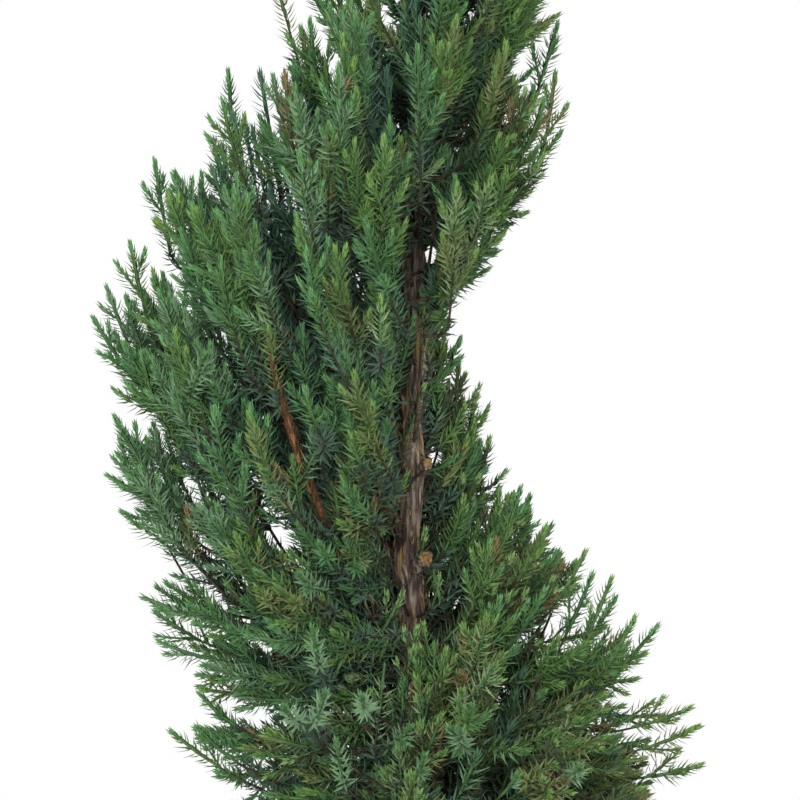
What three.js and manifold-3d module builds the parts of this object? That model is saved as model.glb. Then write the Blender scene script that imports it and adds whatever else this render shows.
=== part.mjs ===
// A clipped spiral topiary, rooted in the ground: one trunk, a bough for each mass of foliage, and a band of
// foliage that winds up round the trunk with a cut channel between its turns. Millimetres, +Z up, origin on the
// trunk's centre at ground level. The front, -Y, is the side where the channel lays the trunk bare.
import * as THREE from "three";
import { mergeVertices } from "three/addons/utils/BufferGeometryUtils.js";
import Module from "manifold-3d";

const wasm = await Module();
wasm.setup();

const DEG = Math.PI / 180;
const TURN = 2 * Math.PI;
const CLEAR = 0.4; // gap between pieces that meet

// Crown outline
const TOP = 1250; // tip of the leader
const SKIRT = 95; // lowest foliage above the ground
const WIDEST = 250; // height where the outline is widest
const WIDEST_RADIUS = 198;
const BLUNTNESS = 1.65; // of the outline: 1 is a cone
const TUCK = 80; // how far the skirt draws in below the widest turn
const LEAN = 0.14; // share by which the crown is fuller on its left, -X

// Channel: its height at an azimuth that keeps counting up with every turn
const CHANNEL_TOP = 1312; // height that the ever closer turns run towards
const CHANNEL_REACH = 625; // how far below that the channel is on the right, +X, at azimuth 0
const CHANNEL_SHRINK = 0.637; // each half turn is this share of the one below
const CHANNEL_RADIUS = 27; // foliage left round the trunk at the channel's floor
const CHANNEL_LIFT = 60; // the channel climbs faster across the front
const CHANNEL_LIFT_AT = -62 * DEG;
const CHANNEL_LIFT_WIDTH = 38 * DEG;
const CHANNEL_FADES = [1010, 1090]; // heights between which the channel runs out under the leader
const LEDGE = [0.32, 285]; // the top of a turn slopes in over this share of its height, at most this far
const UNDERSIDE = [0.54, 397]; // and its underside over this much
const LEDGE_CURVE = 2.4;
const UNDERSIDE_CURVE = 0.54;
const HOLLOWS = [ // where the clipped face dips: azimuth, height, half the width and height, depth
  [180 * DEG, 785, 32 * DEG, 55, 14],
  [0, 570, 30 * DEG, 40, 8],
];
const LUMP = 9; // height of the crown's soft lumps
const LUMP_SIZE = 62;
const LUMPS_ROUND = 12;

// Where the pruner bared the trunk on the front
const BARE_AZIMUTH = -88 * DEG;
const BARE_HALF_ANGLE = 30 * DEG;
const BARE_HEIGHTS = [455, 665];
const BARE_SOFTNESS = 40;

// Trunk
const TRUNK_TIP = 1000;
const TRUNK_RUNOUT = 1200; // height where the taper would end
const TRUNK_RADIUS = [1.2, 15.3]; // at the runout, and how much it gains down to the ground
const TRUNK_TAPER = 1.6;
const FLARE = [9, 22]; // root flare: extra radius at the ground, and the height over which it fades
const BOW = 4; // the trunk bows this far to the right
const WAVER = [2.2, 118]; // and wavers this much about that, once in this much height
const TRUNK_SIDES = 10;
const STUBS = [ // pruned stubs: height, azimuth, radius, length
  [560, -38 * DEG, 3.6, 9],
  [504, -52 * DEG, 4.6, 10],
  [655, -30 * DEG, 2.6, 8],
];

// Foliage masses
const MASS_START = -590 * DEG; // azimuth where the lowest turn begins, at the back
const MASS_ARC = 70 * DEG;
const MASSES = 11; // round the band, below the leader
const LEADER_FOOT = 975;
const CORE_INSET = 25; // the core lies this far inside the outline
const CORE_LEAST = 27; // no core where the outline leaves less than this outside the trunk
const CORE_CLEAR = 9; // between core and trunk
const CORE_OPENS = 35; // the core's inner wall opens this much further at its foot, over the bough
const CORE_STATIONS = 5;
const CORE_LEVELS = 6;
const SIDE_GAP = 0.5; // half the gap between two masses
const BOUGH_SLOPE = 0.9; // rise of a bough for each unit outward
const BOUGH_ENDS = 0.3; // share of the core's height where its bough comes in
const BOUGH_SHARE = 0.36; // a bough's radius beside the trunk's
const BOUGH_RADIUS = [2.6, 4.4]; // and its limits
const BOUGH_TAPER = 0.72; // its tip beside its foot

// Sprays
const SPRAYS = 300;
const SPRAY_LOOSE = 0.06; // share of the whole by which each strays from its even place
const RISE = [14 * DEG, 58 * DEG]; // a spray's least rise, and how much more it has high on the plant
const RISE_GROWS = [400, 580]; // between these heights
const RISE_NEAR_TRUNK = [60, 140]; // and where the outline is closer to the axis than this
const RISE_LOOSE = 12 * DEG;
const SPRAY_TURN = 20 * DEG; // most it turns aside
const EASY_RISE = 38 * DEG; // where there is no room, a spray is turned straight out at this rise
const SPRAY_LEAST = 50; // shortest spray, root included
const SPRAY_MOST = 130;
const SPRAY_SUNK = 10; // how deep its root is sunk in the core
const SPRAY_THICK = 2.4;
const SPRAY_STEM = 4; // half width at the root
const SPRAY_NOTCH = 4.5; // half width above each barb
const BARBS = [[27, 15]]; // distance from the tip, half width
const TIP_JITTER = 12;
const TIP_REACH = 5; // sprays are few, so they reach this much further, to where the furthest needles end

const clamp01 = (x) => Math.min(1, Math.max(0, x));
const smooth = (low, high, x) => {
  const t = clamp01((x - low) / (high - low));
  return t * t * (3 - 2 * t);
};
const mix = (a, b, t) => a + (b - a) * t;
const frac = (x) => x - Math.floor(x);
// Two fixed scatters over 0 to 1: number k of series n, spread evenly by powers of the root of x^4 = x + 1, and
// spread without order
const SPREAD = 1.2207440846057596;
const even = (k, n) => frac((k + 1) / SPREAD ** (n + 1));
const loose = (k, n) => frac(Math.sin((k + 1) * 12.9898 + n * 78.233) * 43758.5453);

function channelHeight(a) {
  const lift = CHANNEL_LIFT * Math.exp(-(((a - CHANNEL_LIFT_AT) / CHANNEL_LIFT_WIDTH) ** 2));
  return CHANNEL_TOP - CHANNEL_REACH * CHANNEL_SHRINK ** (a / Math.PI) + lift;
}

function envelope(z) {
  if (z < WIDEST) return WIDEST_RADIUS - TUCK * ((WIDEST - z) / (WIDEST - SKIRT)) ** 2;
  return WIDEST_RADIUS * (1 - Math.min(1, (z - WIDEST) / (TOP - WIDEST)) ** BLUNTNESS);
}

const waver = (z, wave) => WAVER[0] * Math.sin((TURN * z) / wave) * smooth(0, 200, z);
const trunkX = (z) => BOW * Math.sin((Math.PI * z) / TRUNK_RUNOUT) + waver(z, WAVER[1]);
const trunkY = (z) => waver(z, 1.7 * WAVER[1]);
const trunkPoint = (z) => new THREE.Vector3(trunkX(z), trunkY(z), z);
const trunkRadius = (z) =>
  TRUNK_RADIUS[0] +
  TRUNK_RADIUS[1] * Math.max(0, 1 - z / TRUNK_RUNOUT) ** TRUNK_TAPER +
  FLARE[0] * Math.exp(-z / FLARE[1]);

// The turn of the band that a point lies in: its counted azimuth, and its lower and upper channel
function turnAt(azimuth, z) {
  let a = azimuth - 2 * TURN;
  while (channelHeight(a + TURN) <= z && a < 2 * TURN) a += TURN;
  return { a, low: channelHeight(a), high: channelHeight(a + TURN) };
}

// The crown's radius at an azimuth and a height
function crownRadius(azimuth, z) {
  const { low, high } = turnAt(azimuth, z);
  const tall = high - low;
  const over = clamp01((z - low) / Math.min(UNDERSIDE[0] * tall, UNDERSIDE[1])) ** UNDERSIDE_CURVE;
  const under = clamp01((high - z) / Math.min(LEDGE[0] * tall, LEDGE[1])) ** LEDGE_CURVE;
  const share = mix(Math.min(over, under), 1, smooth(...CHANNEL_FADES, z));
  const full = envelope(z) * (1 - LEAN * Math.cos(azimuth));
  const floor = Math.min(CHANNEL_RADIUS, 0.35 * full);
  const aside = Math.abs(frac((azimuth - BARE_AZIMUTH) / TURN + 0.5) - 0.5) * TURN;
  const bare =
    (1 - smooth(0.6 * BARE_HALF_ANGLE, BARE_HALF_ANGLE, aside)) *
    smooth(BARE_HEIGHTS[0] - BARE_SOFTNESS, BARE_HEIGHTS[0] + BARE_SOFTNESS, z) *
    (1 - smooth(BARE_HEIGHTS[1] - BARE_SOFTNESS, BARE_HEIGHTS[1] + BARE_SOFTNESS, z));
  return mix(mix(floor, full, share), trunkRadius(z) + 2, bare);
}

// Smooth noise from 0 to 1: a value on each corner of a grid that closes after period in x, blended by S-curves
function valueNoise(x, y, period, seed) {
  const [xi, yi] = [Math.floor(x), Math.floor(y)];
  const [fx, fy] = [smooth(0, 1, x - xi), smooth(0, 1, y - yi)];
  const corner = (dx, dy) => loose(((xi + dx) % period) * 57 + (yi + dy) * 131, seed);
  return mix(mix(corner(0, 0), corner(1, 0), fx), mix(corner(0, 1), corner(1, 1), fx), fy);
}

// How far a spray's tip stands out of the outline: lumps and loose ends, less the hollows
function tipOffset(azimuth, z, radius, k) {
  const lump = 2 * valueNoise(frac(azimuth / TURN) * LUMPS_ROUND, z / LUMP_SIZE, LUMPS_ROUND, 5) - 1;
  const hollow = HOLLOWS.reduce((sum, [centre, height, halfWidth, halfHeight, depth]) => {
    const aside = (frac((azimuth - centre) / TURN + 0.5) - 0.5) * TURN;
    return sum + depth * Math.exp(-((aside / halfWidth) ** 2) - ((z - height) / halfHeight) ** 2);
  }, 0);
  return smooth(20, 90, radius) * (LUMP * lump + TIP_JITTER * (2 * loose(k, 0) - 1) + TIP_REACH) - hollow;
}

// Mass number of a point, 0 to MASSES, where the last is the leader's
function massAt(azimuth, z) {
  if (z > LEADER_FOOT) return MASSES;
  const { a } = turnAt(azimuth, z);
  return Math.min(MASSES - 1, Math.max(0, Math.floor((a - MASS_START) / MASS_ARC)));
}

function solid(geometry) {
  geometry.deleteAttribute("normal");
  geometry.deleteAttribute("uv");
  const merged = mergeVertices(geometry, 1e-4);
  return new wasm.Manifold(
    new wasm.Mesh({
      numProp: 3,
      vertProperties: new Float32Array(merged.attributes.position.array),
      triVerts: new Uint32Array(merged.index.array),
    }),
  );
}

function geometryOf(manifold) {
  const mesh = manifold.getMesh();
  const geometry = new THREE.BufferGeometry();
  geometry.setAttribute("position", new THREE.BufferAttribute(new Float32Array(mesh.vertProperties), 3));
  geometry.setIndex(new THREE.BufferAttribute(new Uint32Array(mesh.triVerts), 1));
  geometry.computeVertexNormals();
  return geometry;
}

// A closed skin over rings of points, each with as many points, counterclockwise seen from the far end
function loft(rings, capOf) {
  const n = rings[0].length;
  const positions = rings.flat().flatMap((p) => [p.x, p.y, p.z]);
  const index = [];
  for (let i = 0; i + 1 < rings.length; i++)
    for (let j = 0; j < n; j++) {
      const a = i * n + j;
      const b = i * n + ((j + 1) % n);
      index.push(a, b, b + n, a, b + n, a + n);
    }
  const last = (rings.length - 1) * n;
  for (const [a, b, c] of capOf(n)) index.push(c, b, a, last + a, last + b, last + c);
  const geometry = new THREE.BufferGeometry();
  geometry.setAttribute("position", new THREE.Float32BufferAttribute(positions, 3));
  geometry.setIndex(index);
  return solid(geometry);
}

const fanCap = (n) => Array.from({ length: n - 2 }, (_, i) => [0, i + 1, i + 2]);
// For a ring whose second half runs back beside its first, with or without a single point between them
const ladderCap = (n) => {
  const rungs = Math.floor(n / 2);
  const faces = [];
  for (let i = 0; i + 1 < rungs; i++) faces.push([i, i + 1, n - 2 - i], [i, n - 2 - i, n - 1 - i]);
  if (n % 2) faces.push([rungs - 1, rungs, rungs + 1]);
  return faces;
};

// A round limb along points with a radius at each, closed by flat ends
function limb(points, radii, sides, flute = () => 1) {
  const rings = points.map((p, i) => {
    const ahead = points[Math.min(i + 1, points.length - 1)];
    const behind = points[Math.max(i - 1, 0)];
    const along = ahead.clone().sub(behind).normalize();
    const across = new THREE.Vector3(0, 1, 0).cross(along);
    if (across.lengthSq() < 0.01) across.set(1, 0, 0).cross(along);
    across.normalize();
    const up = along.clone().cross(across);
    return Array.from({ length: sides }, (_, j) => {
      const angle = (TURN * j) / sides;
      const r = radii[i] * flute(angle, i);
      return p.clone().addScaledVector(across, r * Math.cos(angle)).addScaledVector(up, r * Math.sin(angle));
    });
  });
  return loft(rings, fanCap);
}

const at = (azimuth, r, z) => new THREE.Vector3(r * Math.cos(azimuth), r * Math.sin(azimuth), z);

// Trunk: from the flat cut at the ground to the tip, a little fluted, with the pruned stubs joined on
function trunkSolid(grow = 0) {
  const heights = [0, 8, 20, 40, 75];
  while (heights.at(-1) < TRUNK_TIP - 40) heights.push(heights.at(-1) + 30);
  heights[heights.length - 1] = TRUNK_TIP;
  const points = heights.map((z) => trunkPoint(z));
  points[1].setX(points[0].x).setY(points[0].y); // the foot stands plumb, so that its cut is level
  if (grow) points.push(points.at(-1).clone().setZ(TRUNK_TIP + grow));
  const radii = points.map(({ z }) => trunkRadius(z) * (grow ? 1.08 : 1) + grow);
  const flute = (angle, i) => (grow ? 1 : 1 + 0.07 * Math.sin(3 * angle + 0.35 * i));
  let made = limb(points, radii, TRUNK_SIDES, flute);
  for (const [z, azimuth, radius, length] of STUBS) {
    const root = trunkPoint(z);
    const reach = trunkRadius(z) + length + grow;
    const tip = root.clone().add(at(azimuth, reach, 0.35 * reach));
    made = made.add(limb([root, tip], [radius * 1.25 + grow, radius + grow], 8));
  }
  return made;
}

// The levels of a mass's core at one station: where the outline is thick enough to hold it
function coreLevels(a) {
  const low = Math.max(channelHeight(a), SKIRT) + 8;
  const high = Math.min(channelHeight(a + TURN), LEADER_FOOT) - 4;
  const room = (z) => crownRadius(a, z) - trunkRadius(z) - CORE_CLEAR;
  const steps = 40;
  let best = [0, 0];
  let from = null;
  for (let i = 0; i <= steps + 1; i++) {
    const z = mix(low, high, i / steps);
    if (i <= steps && high > low && room(z) > CORE_LEAST) from ??= z;
    else if (from !== null) {
      const to = mix(low, high, (i - 1) / steps);
      if (to - from > best[1] - best[0]) best = [from, to];
      from = null;
    }
  }
  return best;
}

function coreWall(a, z, share) {
  const radius = crownRadius(a, z);
  const inner = Math.hypot(trunkX(z), trunkY(z)) + trunkRadius(z) + CORE_CLEAR;
  const outer = Math.max(radius - CORE_INSET, inner + 0.45 * (radius - inner));
  const opened = inner + CORE_OPENS * clamp01(1 - share / 0.45);
  return { inner: Math.min(opened, mix(inner, outer, 0.4)), outer };
}

// Stations along one mass's core, from side to side
function coreStations(index) {
  const start = MASS_START + index * MASS_ARC;
  const arc = index === MASSES - 1 ? 2 * MASS_ARC : MASS_ARC;
  const aside = 0.4 * DEG;
  const stations = [];
  for (let i = 0; i < CORE_STATIONS; i++) {
    const a = mix(start + aside, start + arc - aside, i / (CORE_STATIONS - 1));
    const [low, high] = coreLevels(a);
    if (high - low > 18) stations.push({ a, low, high });
  }
  return stations;
}

function coreSolid(stations) {
  const shares = Array.from({ length: CORE_LEVELS }, (_, j) => j / (CORE_LEVELS - 1));
  const rings = stations.map(({ a, low, high }) => {
    const wall = (side) => shares.map((t) => at(a, coreWall(a, mix(low, high, t), t)[side], mix(low, high, t)));
    return [...wall("inner"), ...wall("outer").reverse()];
  });
  return loft(rings, ladderCap);
}

// A mass's bough: from the trunk up and out to the foot of its core
function boughPath(stations) {
  const { a, low, high } = stations[Math.floor(stations.length / 2)];
  const z = mix(low, high, BOUGH_ENDS);
  const end = at(a, coreWall(a, z, BOUGH_ENDS).inner + 6, z);
  const run = Math.hypot(end.x - trunkX(z), end.y - trunkY(z));
  const foot = Math.max(z - BOUGH_SLOPE * run, 0.6 * SKIRT);
  const out = new THREE.Vector3(end.x - trunkX(foot), end.y - trunkY(foot), 0).normalize();
  const start = trunkPoint(foot).addScaledVector(out, trunkRadius(foot) * 0.5);
  const bend = start.clone().lerp(end, 0.5);
  bend.z -= 0.1 * run;
  return new THREE.QuadraticBezierCurve3(start, bend, end);
}

// Which way a spray points: outward, nearly upright high on the plant and nearly level low on it, with a turn to
// one side or the other. eased goes from 0 to 1 where a spray is turned straight out to find room.
function sprayDirection(azimuth, z, k, eased) {
  const above = z - turnAt(azimuth, z).low;
  const near = (1 - smooth(...RISE_NEAR_TRUNK, crownRadius(azimuth, z))) * smooth(60, 160, above);
  const upright = Math.max(smooth(...RISE_GROWS, z), near) * smooth(0, 130, above);
  const rise = mix(RISE[0] + RISE[1] * upright + RISE_LOOSE * (2 * loose(k, 2) - 1), EASY_RISE, eased);
  const heading = azimuth + (1 - eased) * SPRAY_TURN * (2 * loose(k, 1) - 1);
  return at(heading, Math.cos(rise), Math.sin(rise));
}

// A flat spray with barbed edges: its outline from root to tip and back
function sprayOutline(root, along, across, length) {
  const side = [[0, SPRAY_STEM], ...BARBS.flatMap(([back, wide]) => [
    [length - back, wide],
    [length - back + 5, SPRAY_NOTCH],
  ])];
  const edge = [...side, [length, 0], ...side.map(([s, w]) => [s, -w]).reverse()];
  return edge.map(([s, w]) => root.clone().addScaledVector(along, s).addScaledVector(across, w));
}

const shifted = (points, by) => points.map((p) => p.clone().add(by));

function spraySolid(edge, normal) {
  const half = normal.clone().multiplyScalar(SPRAY_THICK / 2);
  return loft([shifted(edge, half.clone().negate()), shifted(edge, half)], ladderCap);
}

// Whether a point keeps to a mass's own space
function inSpace(p, index) {
  const r = Math.hypot(p.x, p.y);
  const azimuth = Math.atan2(p.y, p.x);
  if (p.z < TRUNK_TIP + 5 && r < trunkRadius(p.z) + 12) return false;
  if (p.z < SKIRT - 8) return false;
  const aside = SIDE_GAP / Math.max(r, 1) + 0.5 * SPRAY_THICK / Math.max(r, 1);
  return [-aside, aside].every((d) => [-2, 2].every((dz) => massAt(azimuth + d, p.z + dz) === index));
}

function inCore(p, stations, depth) {
  const { a } = turnAt(Math.atan2(p.y, p.x), p.z);
  if (a < stations[0].a || a > stations.at(-1).a) return false;
  const [low, high] = coreLevels(a);
  if (p.z < low + 4 || p.z > high - 4) return false;
  const { inner, outer } = coreWall(a, p.z, (p.z - low) / (high - low));
  const r = Math.hypot(p.x, p.y);
  return r > inner + 1 && r < outer - Math.min(depth, 0.5 * (outer - inner));
}

const crown = new THREE.Group();
const bark = new THREE.MeshStandardMaterial({ color: "#6b5648", roughness: 0.9, metalness: 0 });
const young = new THREE.MeshStandardMaterial({ color: "#8a5a38", roughness: 0.85, metalness: 0 });
const green = new THREE.MeshStandardMaterial({ color: "#3f6b43", roughness: 0.75, metalness: 0 });

function addPiece(name, made, material) {
  const mesh = new THREE.Mesh(geometryOf(made), material);
  mesh.name = name;
  crown.add(mesh);
}

const trunkClear = trunkSolid(CLEAR);
addPiece("trunk", trunkSolid(), bark);

// The boughs, one to a mass, and the leader's stem that goes on from the trunk's tip
const limbs = Array.from({ length: MASSES }, (_, index) => {
  const stations = coreStations(index);
  const path = boughPath(stations);
  const size = Math.min(BOUGH_RADIUS[1], Math.max(BOUGH_RADIUS[0], BOUGH_SHARE * trunkRadius(stations[0].low)));
  const points = path.getPoints(5);
  const taper = points.map((_, i) => mix(size, size * BOUGH_TAPER, i / 5));
  return { index, stations, path, size, points, taper, clear: limb(points, taper.map((r) => r + CLEAR), 8) };
});
const wood = limbs.reduce((sum, { clear }) => sum.add(clear), trunkClear);
const touches = (a, b) => a.intersect(b).getMesh().triVerts.length > 0;

// Where the sprays go: one scatter over the whole crown, thinned so that each has an equal patch of outline
const sprays = [];
for (let k = 0; sprays.length < SPRAYS; k++) {
  const z = mix(SKIRT, TOP - 12, clamp01(even(k, 1) + SPRAY_LOOSE * (loose(k, 3) - 0.5)));
  const azimuth = (even(k, 0) + SPRAY_LOOSE * (loose(k, 4) - 0.5) - 0.5) * TURN;
  const radius = crownRadius(azimuth, z);
  if (even(k, 2) * WIDEST_RADIUS * 1.1 > radius + 12) continue;
  sprays.push({ k, azimuth, z, radius, mass: massAt(azimuth, z) });
}

// A spray for a mass, from the outline back to where its root is sunk, or nothing if there is no room
function sprayFor({ k, azimuth, z, radius, mass }, core, isRooted, eased = 0) {
  const end = at(azimuth, radius + tipOffset(azimuth, z, radius, k), z);
  const direction = sprayDirection(azimuth, z, k, eased);
  let length = 34;
  while (length < SPRAY_MOST && !isRooted(end.clone().addScaledVector(direction, -length))) length += 2;
  length = Math.max(length, SPRAY_LEAST);
  const root = end.clone().addScaledVector(direction, -length);
  const sideways = new THREE.Vector3(-Math.sin(azimuth), Math.cos(azimuth), 0);
  sideways.addScaledVector(direction, -sideways.dot(direction)).normalize();
  const normal = direction.clone().cross(sideways);
  for (const roll of length < SPRAY_MOST ? [180 * loose(k, 5), 90, 45, 135] : []) {
    const across = sideways.clone().multiplyScalar(Math.cos(roll * DEG));
    across.addScaledVector(normal, Math.sin(roll * DEG));
    const edge = sprayOutline(root, direction, across, length);
    if (!edge.every((p) => inSpace(p, mass))) continue;
    const made = spraySolid(edge, across.clone().cross(direction));
    if (touches(made, core) && !touches(made, wood)) return made;
  }
  return eased < 1 ? sprayFor({ k, azimuth, z, radius, mass }, core, isRooted, eased + 0.5) : null;
}

// The leader's foliage: a core round the trunk's tip, cut clear of it, on a stem that goes on from the tip
function leaderSolid() {
  const heights = [LEADER_FOOT + 1, 1010, 1050, 1095, 1140, 1185, TOP - 22];
  const sides = 10;
  const rings = heights.map((z) =>
    Array.from({ length: sides }, (_, j) => {
      const azimuth = (TURN * j) / sides;
      const radius = crownRadius(azimuth, z);
      return at(azimuth, Math.max(radius - CORE_INSET, 0.5 * radius), z);
    }),
  );
  const foot = trunkPoint(TRUNK_TIP).setZ(TRUNK_TIP + CLEAR);
  const stem = limb([foot, new THREE.Vector3(0, 0, TOP - 6)], [trunkRadius(TRUNK_TIP), 1], 8);
  return loft(rings, fanCap).subtract(trunkSolid(5)).add(stem);
}

function inLeader(p, depth) {
  const radius = crownRadius(Math.atan2(p.y, p.x), p.z);
  if (p.z < LEADER_FOOT + depth || p.z > TOP - 30) return false;
  return Math.hypot(p.x, p.y) < Math.max(radius - CORE_INSET, 0.5 * radius) - Math.min(depth, 0.2 * radius);
}

const counts = [];
for (const { index, stations, size, points, taper } of limbs) {
  const number = String(index + 1).padStart(2, "0");
  const tip = points.at(-1);
  const along = tip.clone().sub(points.at(-2)).normalize();
  const from = tip.clone().addScaledVector(along, CLEAR + 0.1);
  const core = coreSolid(stations).subtract(wood);
  let mass = core.add(limb([from, tip.clone().addScaledVector(along, 30)], [size * BOUGH_TAPER, size * 0.5], 8));
  let kept = 0;
  for (const spray of sprays.filter((s) => s.mass === index)) {
    const made = sprayFor(spray, core, (p) => inCore(p, stations, SPRAY_SUNK));
    if (!made) continue;
    mass = mass.add(made);
    kept += 1;
  }
  counts.push(kept);
  addPiece(`bough_${number}`, limb(points, taper, 8).subtract(trunkClear), young);
  addPiece(`foliage_${number}`, mass, green);
}
const leaderCore = leaderSolid();
let leader = leaderCore;
let onLeader = 0;
for (const spray of sprays.filter((s) => s.mass === MASSES)) {
  const made = sprayFor(spray, leaderCore, (p) => inLeader(p, SPRAY_SUNK));
  if (!made) continue;
  leader = leader.add(made);
  onLeader += 1;
}
counts.push(onLeader);
addPiece(`foliage_${MASSES + 1}`, leader, green);
console.log(`sprays on each mass: ${counts.join(" ")}`);

export default crown;
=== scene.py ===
"""A clipped spiral topiary: bark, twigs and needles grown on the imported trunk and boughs.

Sizes in the growing rules are millimetres and become metres where a mesh is made.
"""

import math

import bpy
import numpy as np
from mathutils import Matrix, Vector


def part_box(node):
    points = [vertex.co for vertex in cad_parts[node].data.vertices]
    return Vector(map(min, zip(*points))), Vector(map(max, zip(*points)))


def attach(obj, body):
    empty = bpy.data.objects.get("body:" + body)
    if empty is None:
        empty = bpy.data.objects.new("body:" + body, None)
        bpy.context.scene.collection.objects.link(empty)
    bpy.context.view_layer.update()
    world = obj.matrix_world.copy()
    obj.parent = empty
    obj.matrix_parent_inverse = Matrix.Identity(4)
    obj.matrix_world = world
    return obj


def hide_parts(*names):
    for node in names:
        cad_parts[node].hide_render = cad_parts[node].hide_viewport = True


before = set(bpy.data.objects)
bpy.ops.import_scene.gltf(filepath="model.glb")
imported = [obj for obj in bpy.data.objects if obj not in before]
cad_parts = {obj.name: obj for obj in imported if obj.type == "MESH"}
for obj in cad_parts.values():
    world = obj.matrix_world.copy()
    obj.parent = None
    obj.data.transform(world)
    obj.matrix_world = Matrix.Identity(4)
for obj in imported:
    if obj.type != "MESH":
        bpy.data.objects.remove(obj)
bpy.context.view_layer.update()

MM = 0.001
TURN = 2 * np.pi
DEG = np.pi / 180
GOLDEN_SHARE = 0.381966  # the golden angle as a share of a turn
GOLDEN_ANGLE = 2.39996  # and in radians

# Crown outline, as the solids have it
TOP = 1250.0  # tip of the leader
SKIRT = 95.0  # lowest foliage above the ground
WIDEST = 250.0  # height where the outline is widest
WIDEST_RADIUS = 198.0
BLUNTNESS = 1.65  # of the outline: 1 is a cone
TUCK = 80.0  # how far the skirt draws in below the widest turn
LEAN = 0.14  # share by which the crown is fuller on its left, -X
CHANNEL_TOP = 1312.0  # height that the ever closer turns run towards
CHANNEL_REACH = 625.0  # how far below that the channel is on the right, +X, at azimuth 0
CHANNEL_SHRINK = 0.637  # each half turn is this share of the one below
CHANNEL_RADIUS = 27.0  # foliage left round the trunk at the channel's floor
CHANNEL_SHARE = 0.35  # but no more than this share of the outline
CHANNEL_LIFT = 60.0  # the channel climbs faster across the front
CHANNEL_LIFT_AT = -62 * DEG
CHANNEL_LIFT_WIDTH = 38 * DEG
CHANNEL_FADES = (1010.0, 1090.0)  # heights between which the channel runs out under the leader
LEDGE = (0.32, 285.0)  # the top of a turn slopes in over this share of its height, at most this far
UNDERSIDE = (0.54, 397.0)  # and its underside over this much
LEDGE_CURVE = 2.4
UNDERSIDE_CURVE = 0.54
OUTLINE_SLACK = 6.0  # the wood under a shoot, and its foot, may pass the outline by this much

# Openings and dips of the crown
BARE_HEIGHTS = (458.0, 660.0)  # the pruner has bared the trunk's front between these
BARE_SOFTNESS = 26.0  # height over which the slot narrows at each end
BARE_HALF_WIDTH = 11.0
BARE_ASIDE = 3.0  # how far the slot lies to the right of the trunk's middle
BARE_BACK = 6.0  # the slot is open from the front to this Y
PARTING_BACK = -20.0  # and the partings to this one
PARTINGS = (  # where the front foliage parts over the dark inside: x, height, half the width and height
    (-75.0, 693.0, 7.0, 34.0),
    (-58.0, 545.0, 6.0, 12.0),
    (-70.0, 582.0, 6.0, 12.0),
    (2.0, 688.0, 6.0, 26.0),
    (-6.0, 775.0, 5.0, 20.0),
    (26.0, 758.0, 12.0, 9.0),
    (-12.0, 832.0, 6.0, 13.0),
    (-32.0, 668.0, 5.0, 16.0),
    (22.0, 486.0, 6.0, 22.0),
    (22.0, 379.0, 7.0, 8.0),
    (50.0, 378.0, 8.0, 9.0),
    (56.0, 420.0, 6.0, 10.0),
    (-14.0, 440.0, 5.0, 9.0),
)
SKY_HOLES = (  # where the crown is open right through: x, height, half the width and height
    (-79.0, 521.0, 10.0, 8.0),
    (-102.0, 492.0, 5.0, 8.0),
    (-90.0, 450.0, 5.0, 8.0),
    (-90.0, 408.0, 6.0, 8.0),
    (-83.0, 384.0, 7.0, 5.0),
    (-97.0, 411.0, 5.0, 6.0),
    (14.0, 566.0, 6.0, 6.0),
    (14.0, 484.0, 5.0, 4.0),
    (-112.0, 640.0, 5.0, 5.0),
    (78.0, 462.0, 5.0, 6.0),
    (-134.0, 551.0, 6.0, 5.0),
    (-100.0, 470.0, 4.0, 5.0),
    (-82.0, 770.0, 4.0, 8.0),
    (-45.0, 797.0, 5.0, 9.0),
    (12.0, 689.0, 4.0, 7.0),
    (8.0, 832.0, 4.0, 8.0),
    (35.0, 833.0, 4.0, 7.0),
    (64.0, 803.0, 5.0, 9.0),
    (27.0, 475.0, 4.0, 5.0),
    (57.0, 441.0, 4.0, 6.0),
    (130.0, 404.0, 5.0, 4.0),
)
HOLLOWS = (  # where the clipped face dips, or stands out: azimuth, height, half the width and height, depth
    (180 * DEG, 776.0, 36 * DEG, 44.0, 47.0),
    (180 * DEG, 854.0, 34 * DEG, 32.0, -36.0),
    (0 * DEG, 800.0, 34 * DEG, 60.0, 11.0),
    (0 * DEG, 862.0, 34 * DEG, 30.0, 9.0),
    (180 * DEG, 688.0, 30 * DEG, 22.0, 11.0),
    (180 * DEG, 422.0, 30 * DEG, 20.0, 7.0),
    (180 * DEG, 512.0, 30 * DEG, 24.0, 17.0),
    (0 * DEG, 692.0, 30 * DEG, 18.0, 6.0),
    (0 * DEG, 630.0, 34 * DEG, 30.0, -8.0),
    (0 * DEG, 464.0, 30 * DEG, 14.0, -6.0),
    (0 * DEG, 566.0, 30 * DEG, 26.0, 19.0),
    (0 * DEG, 430.0, 30 * DEG, 22.0, 13.0),
    (0 * DEG, 384.0, 36 * DEG, 36.0, 28.0),
)
INSIDE_RISE = np.array([-12.0, 2.0, 68.0])  # from foot to tip of the shoots in the groups below
INSIDE_LENGTH = 69.0
INSIDE_SHADE = 60.0  # the depth whose needles they have, so that they take the darker colours of painted shade
INSIDE = (  # groups of shoots inside the crown: middle, half sizes, number
    ((-76.0, 4.0, 650.0), (32.0, 14.0, 80.0), 46),
    ((12.0, 2.0, 730.0), (36.0, 14.0, 44.0), 22),
)

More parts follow.
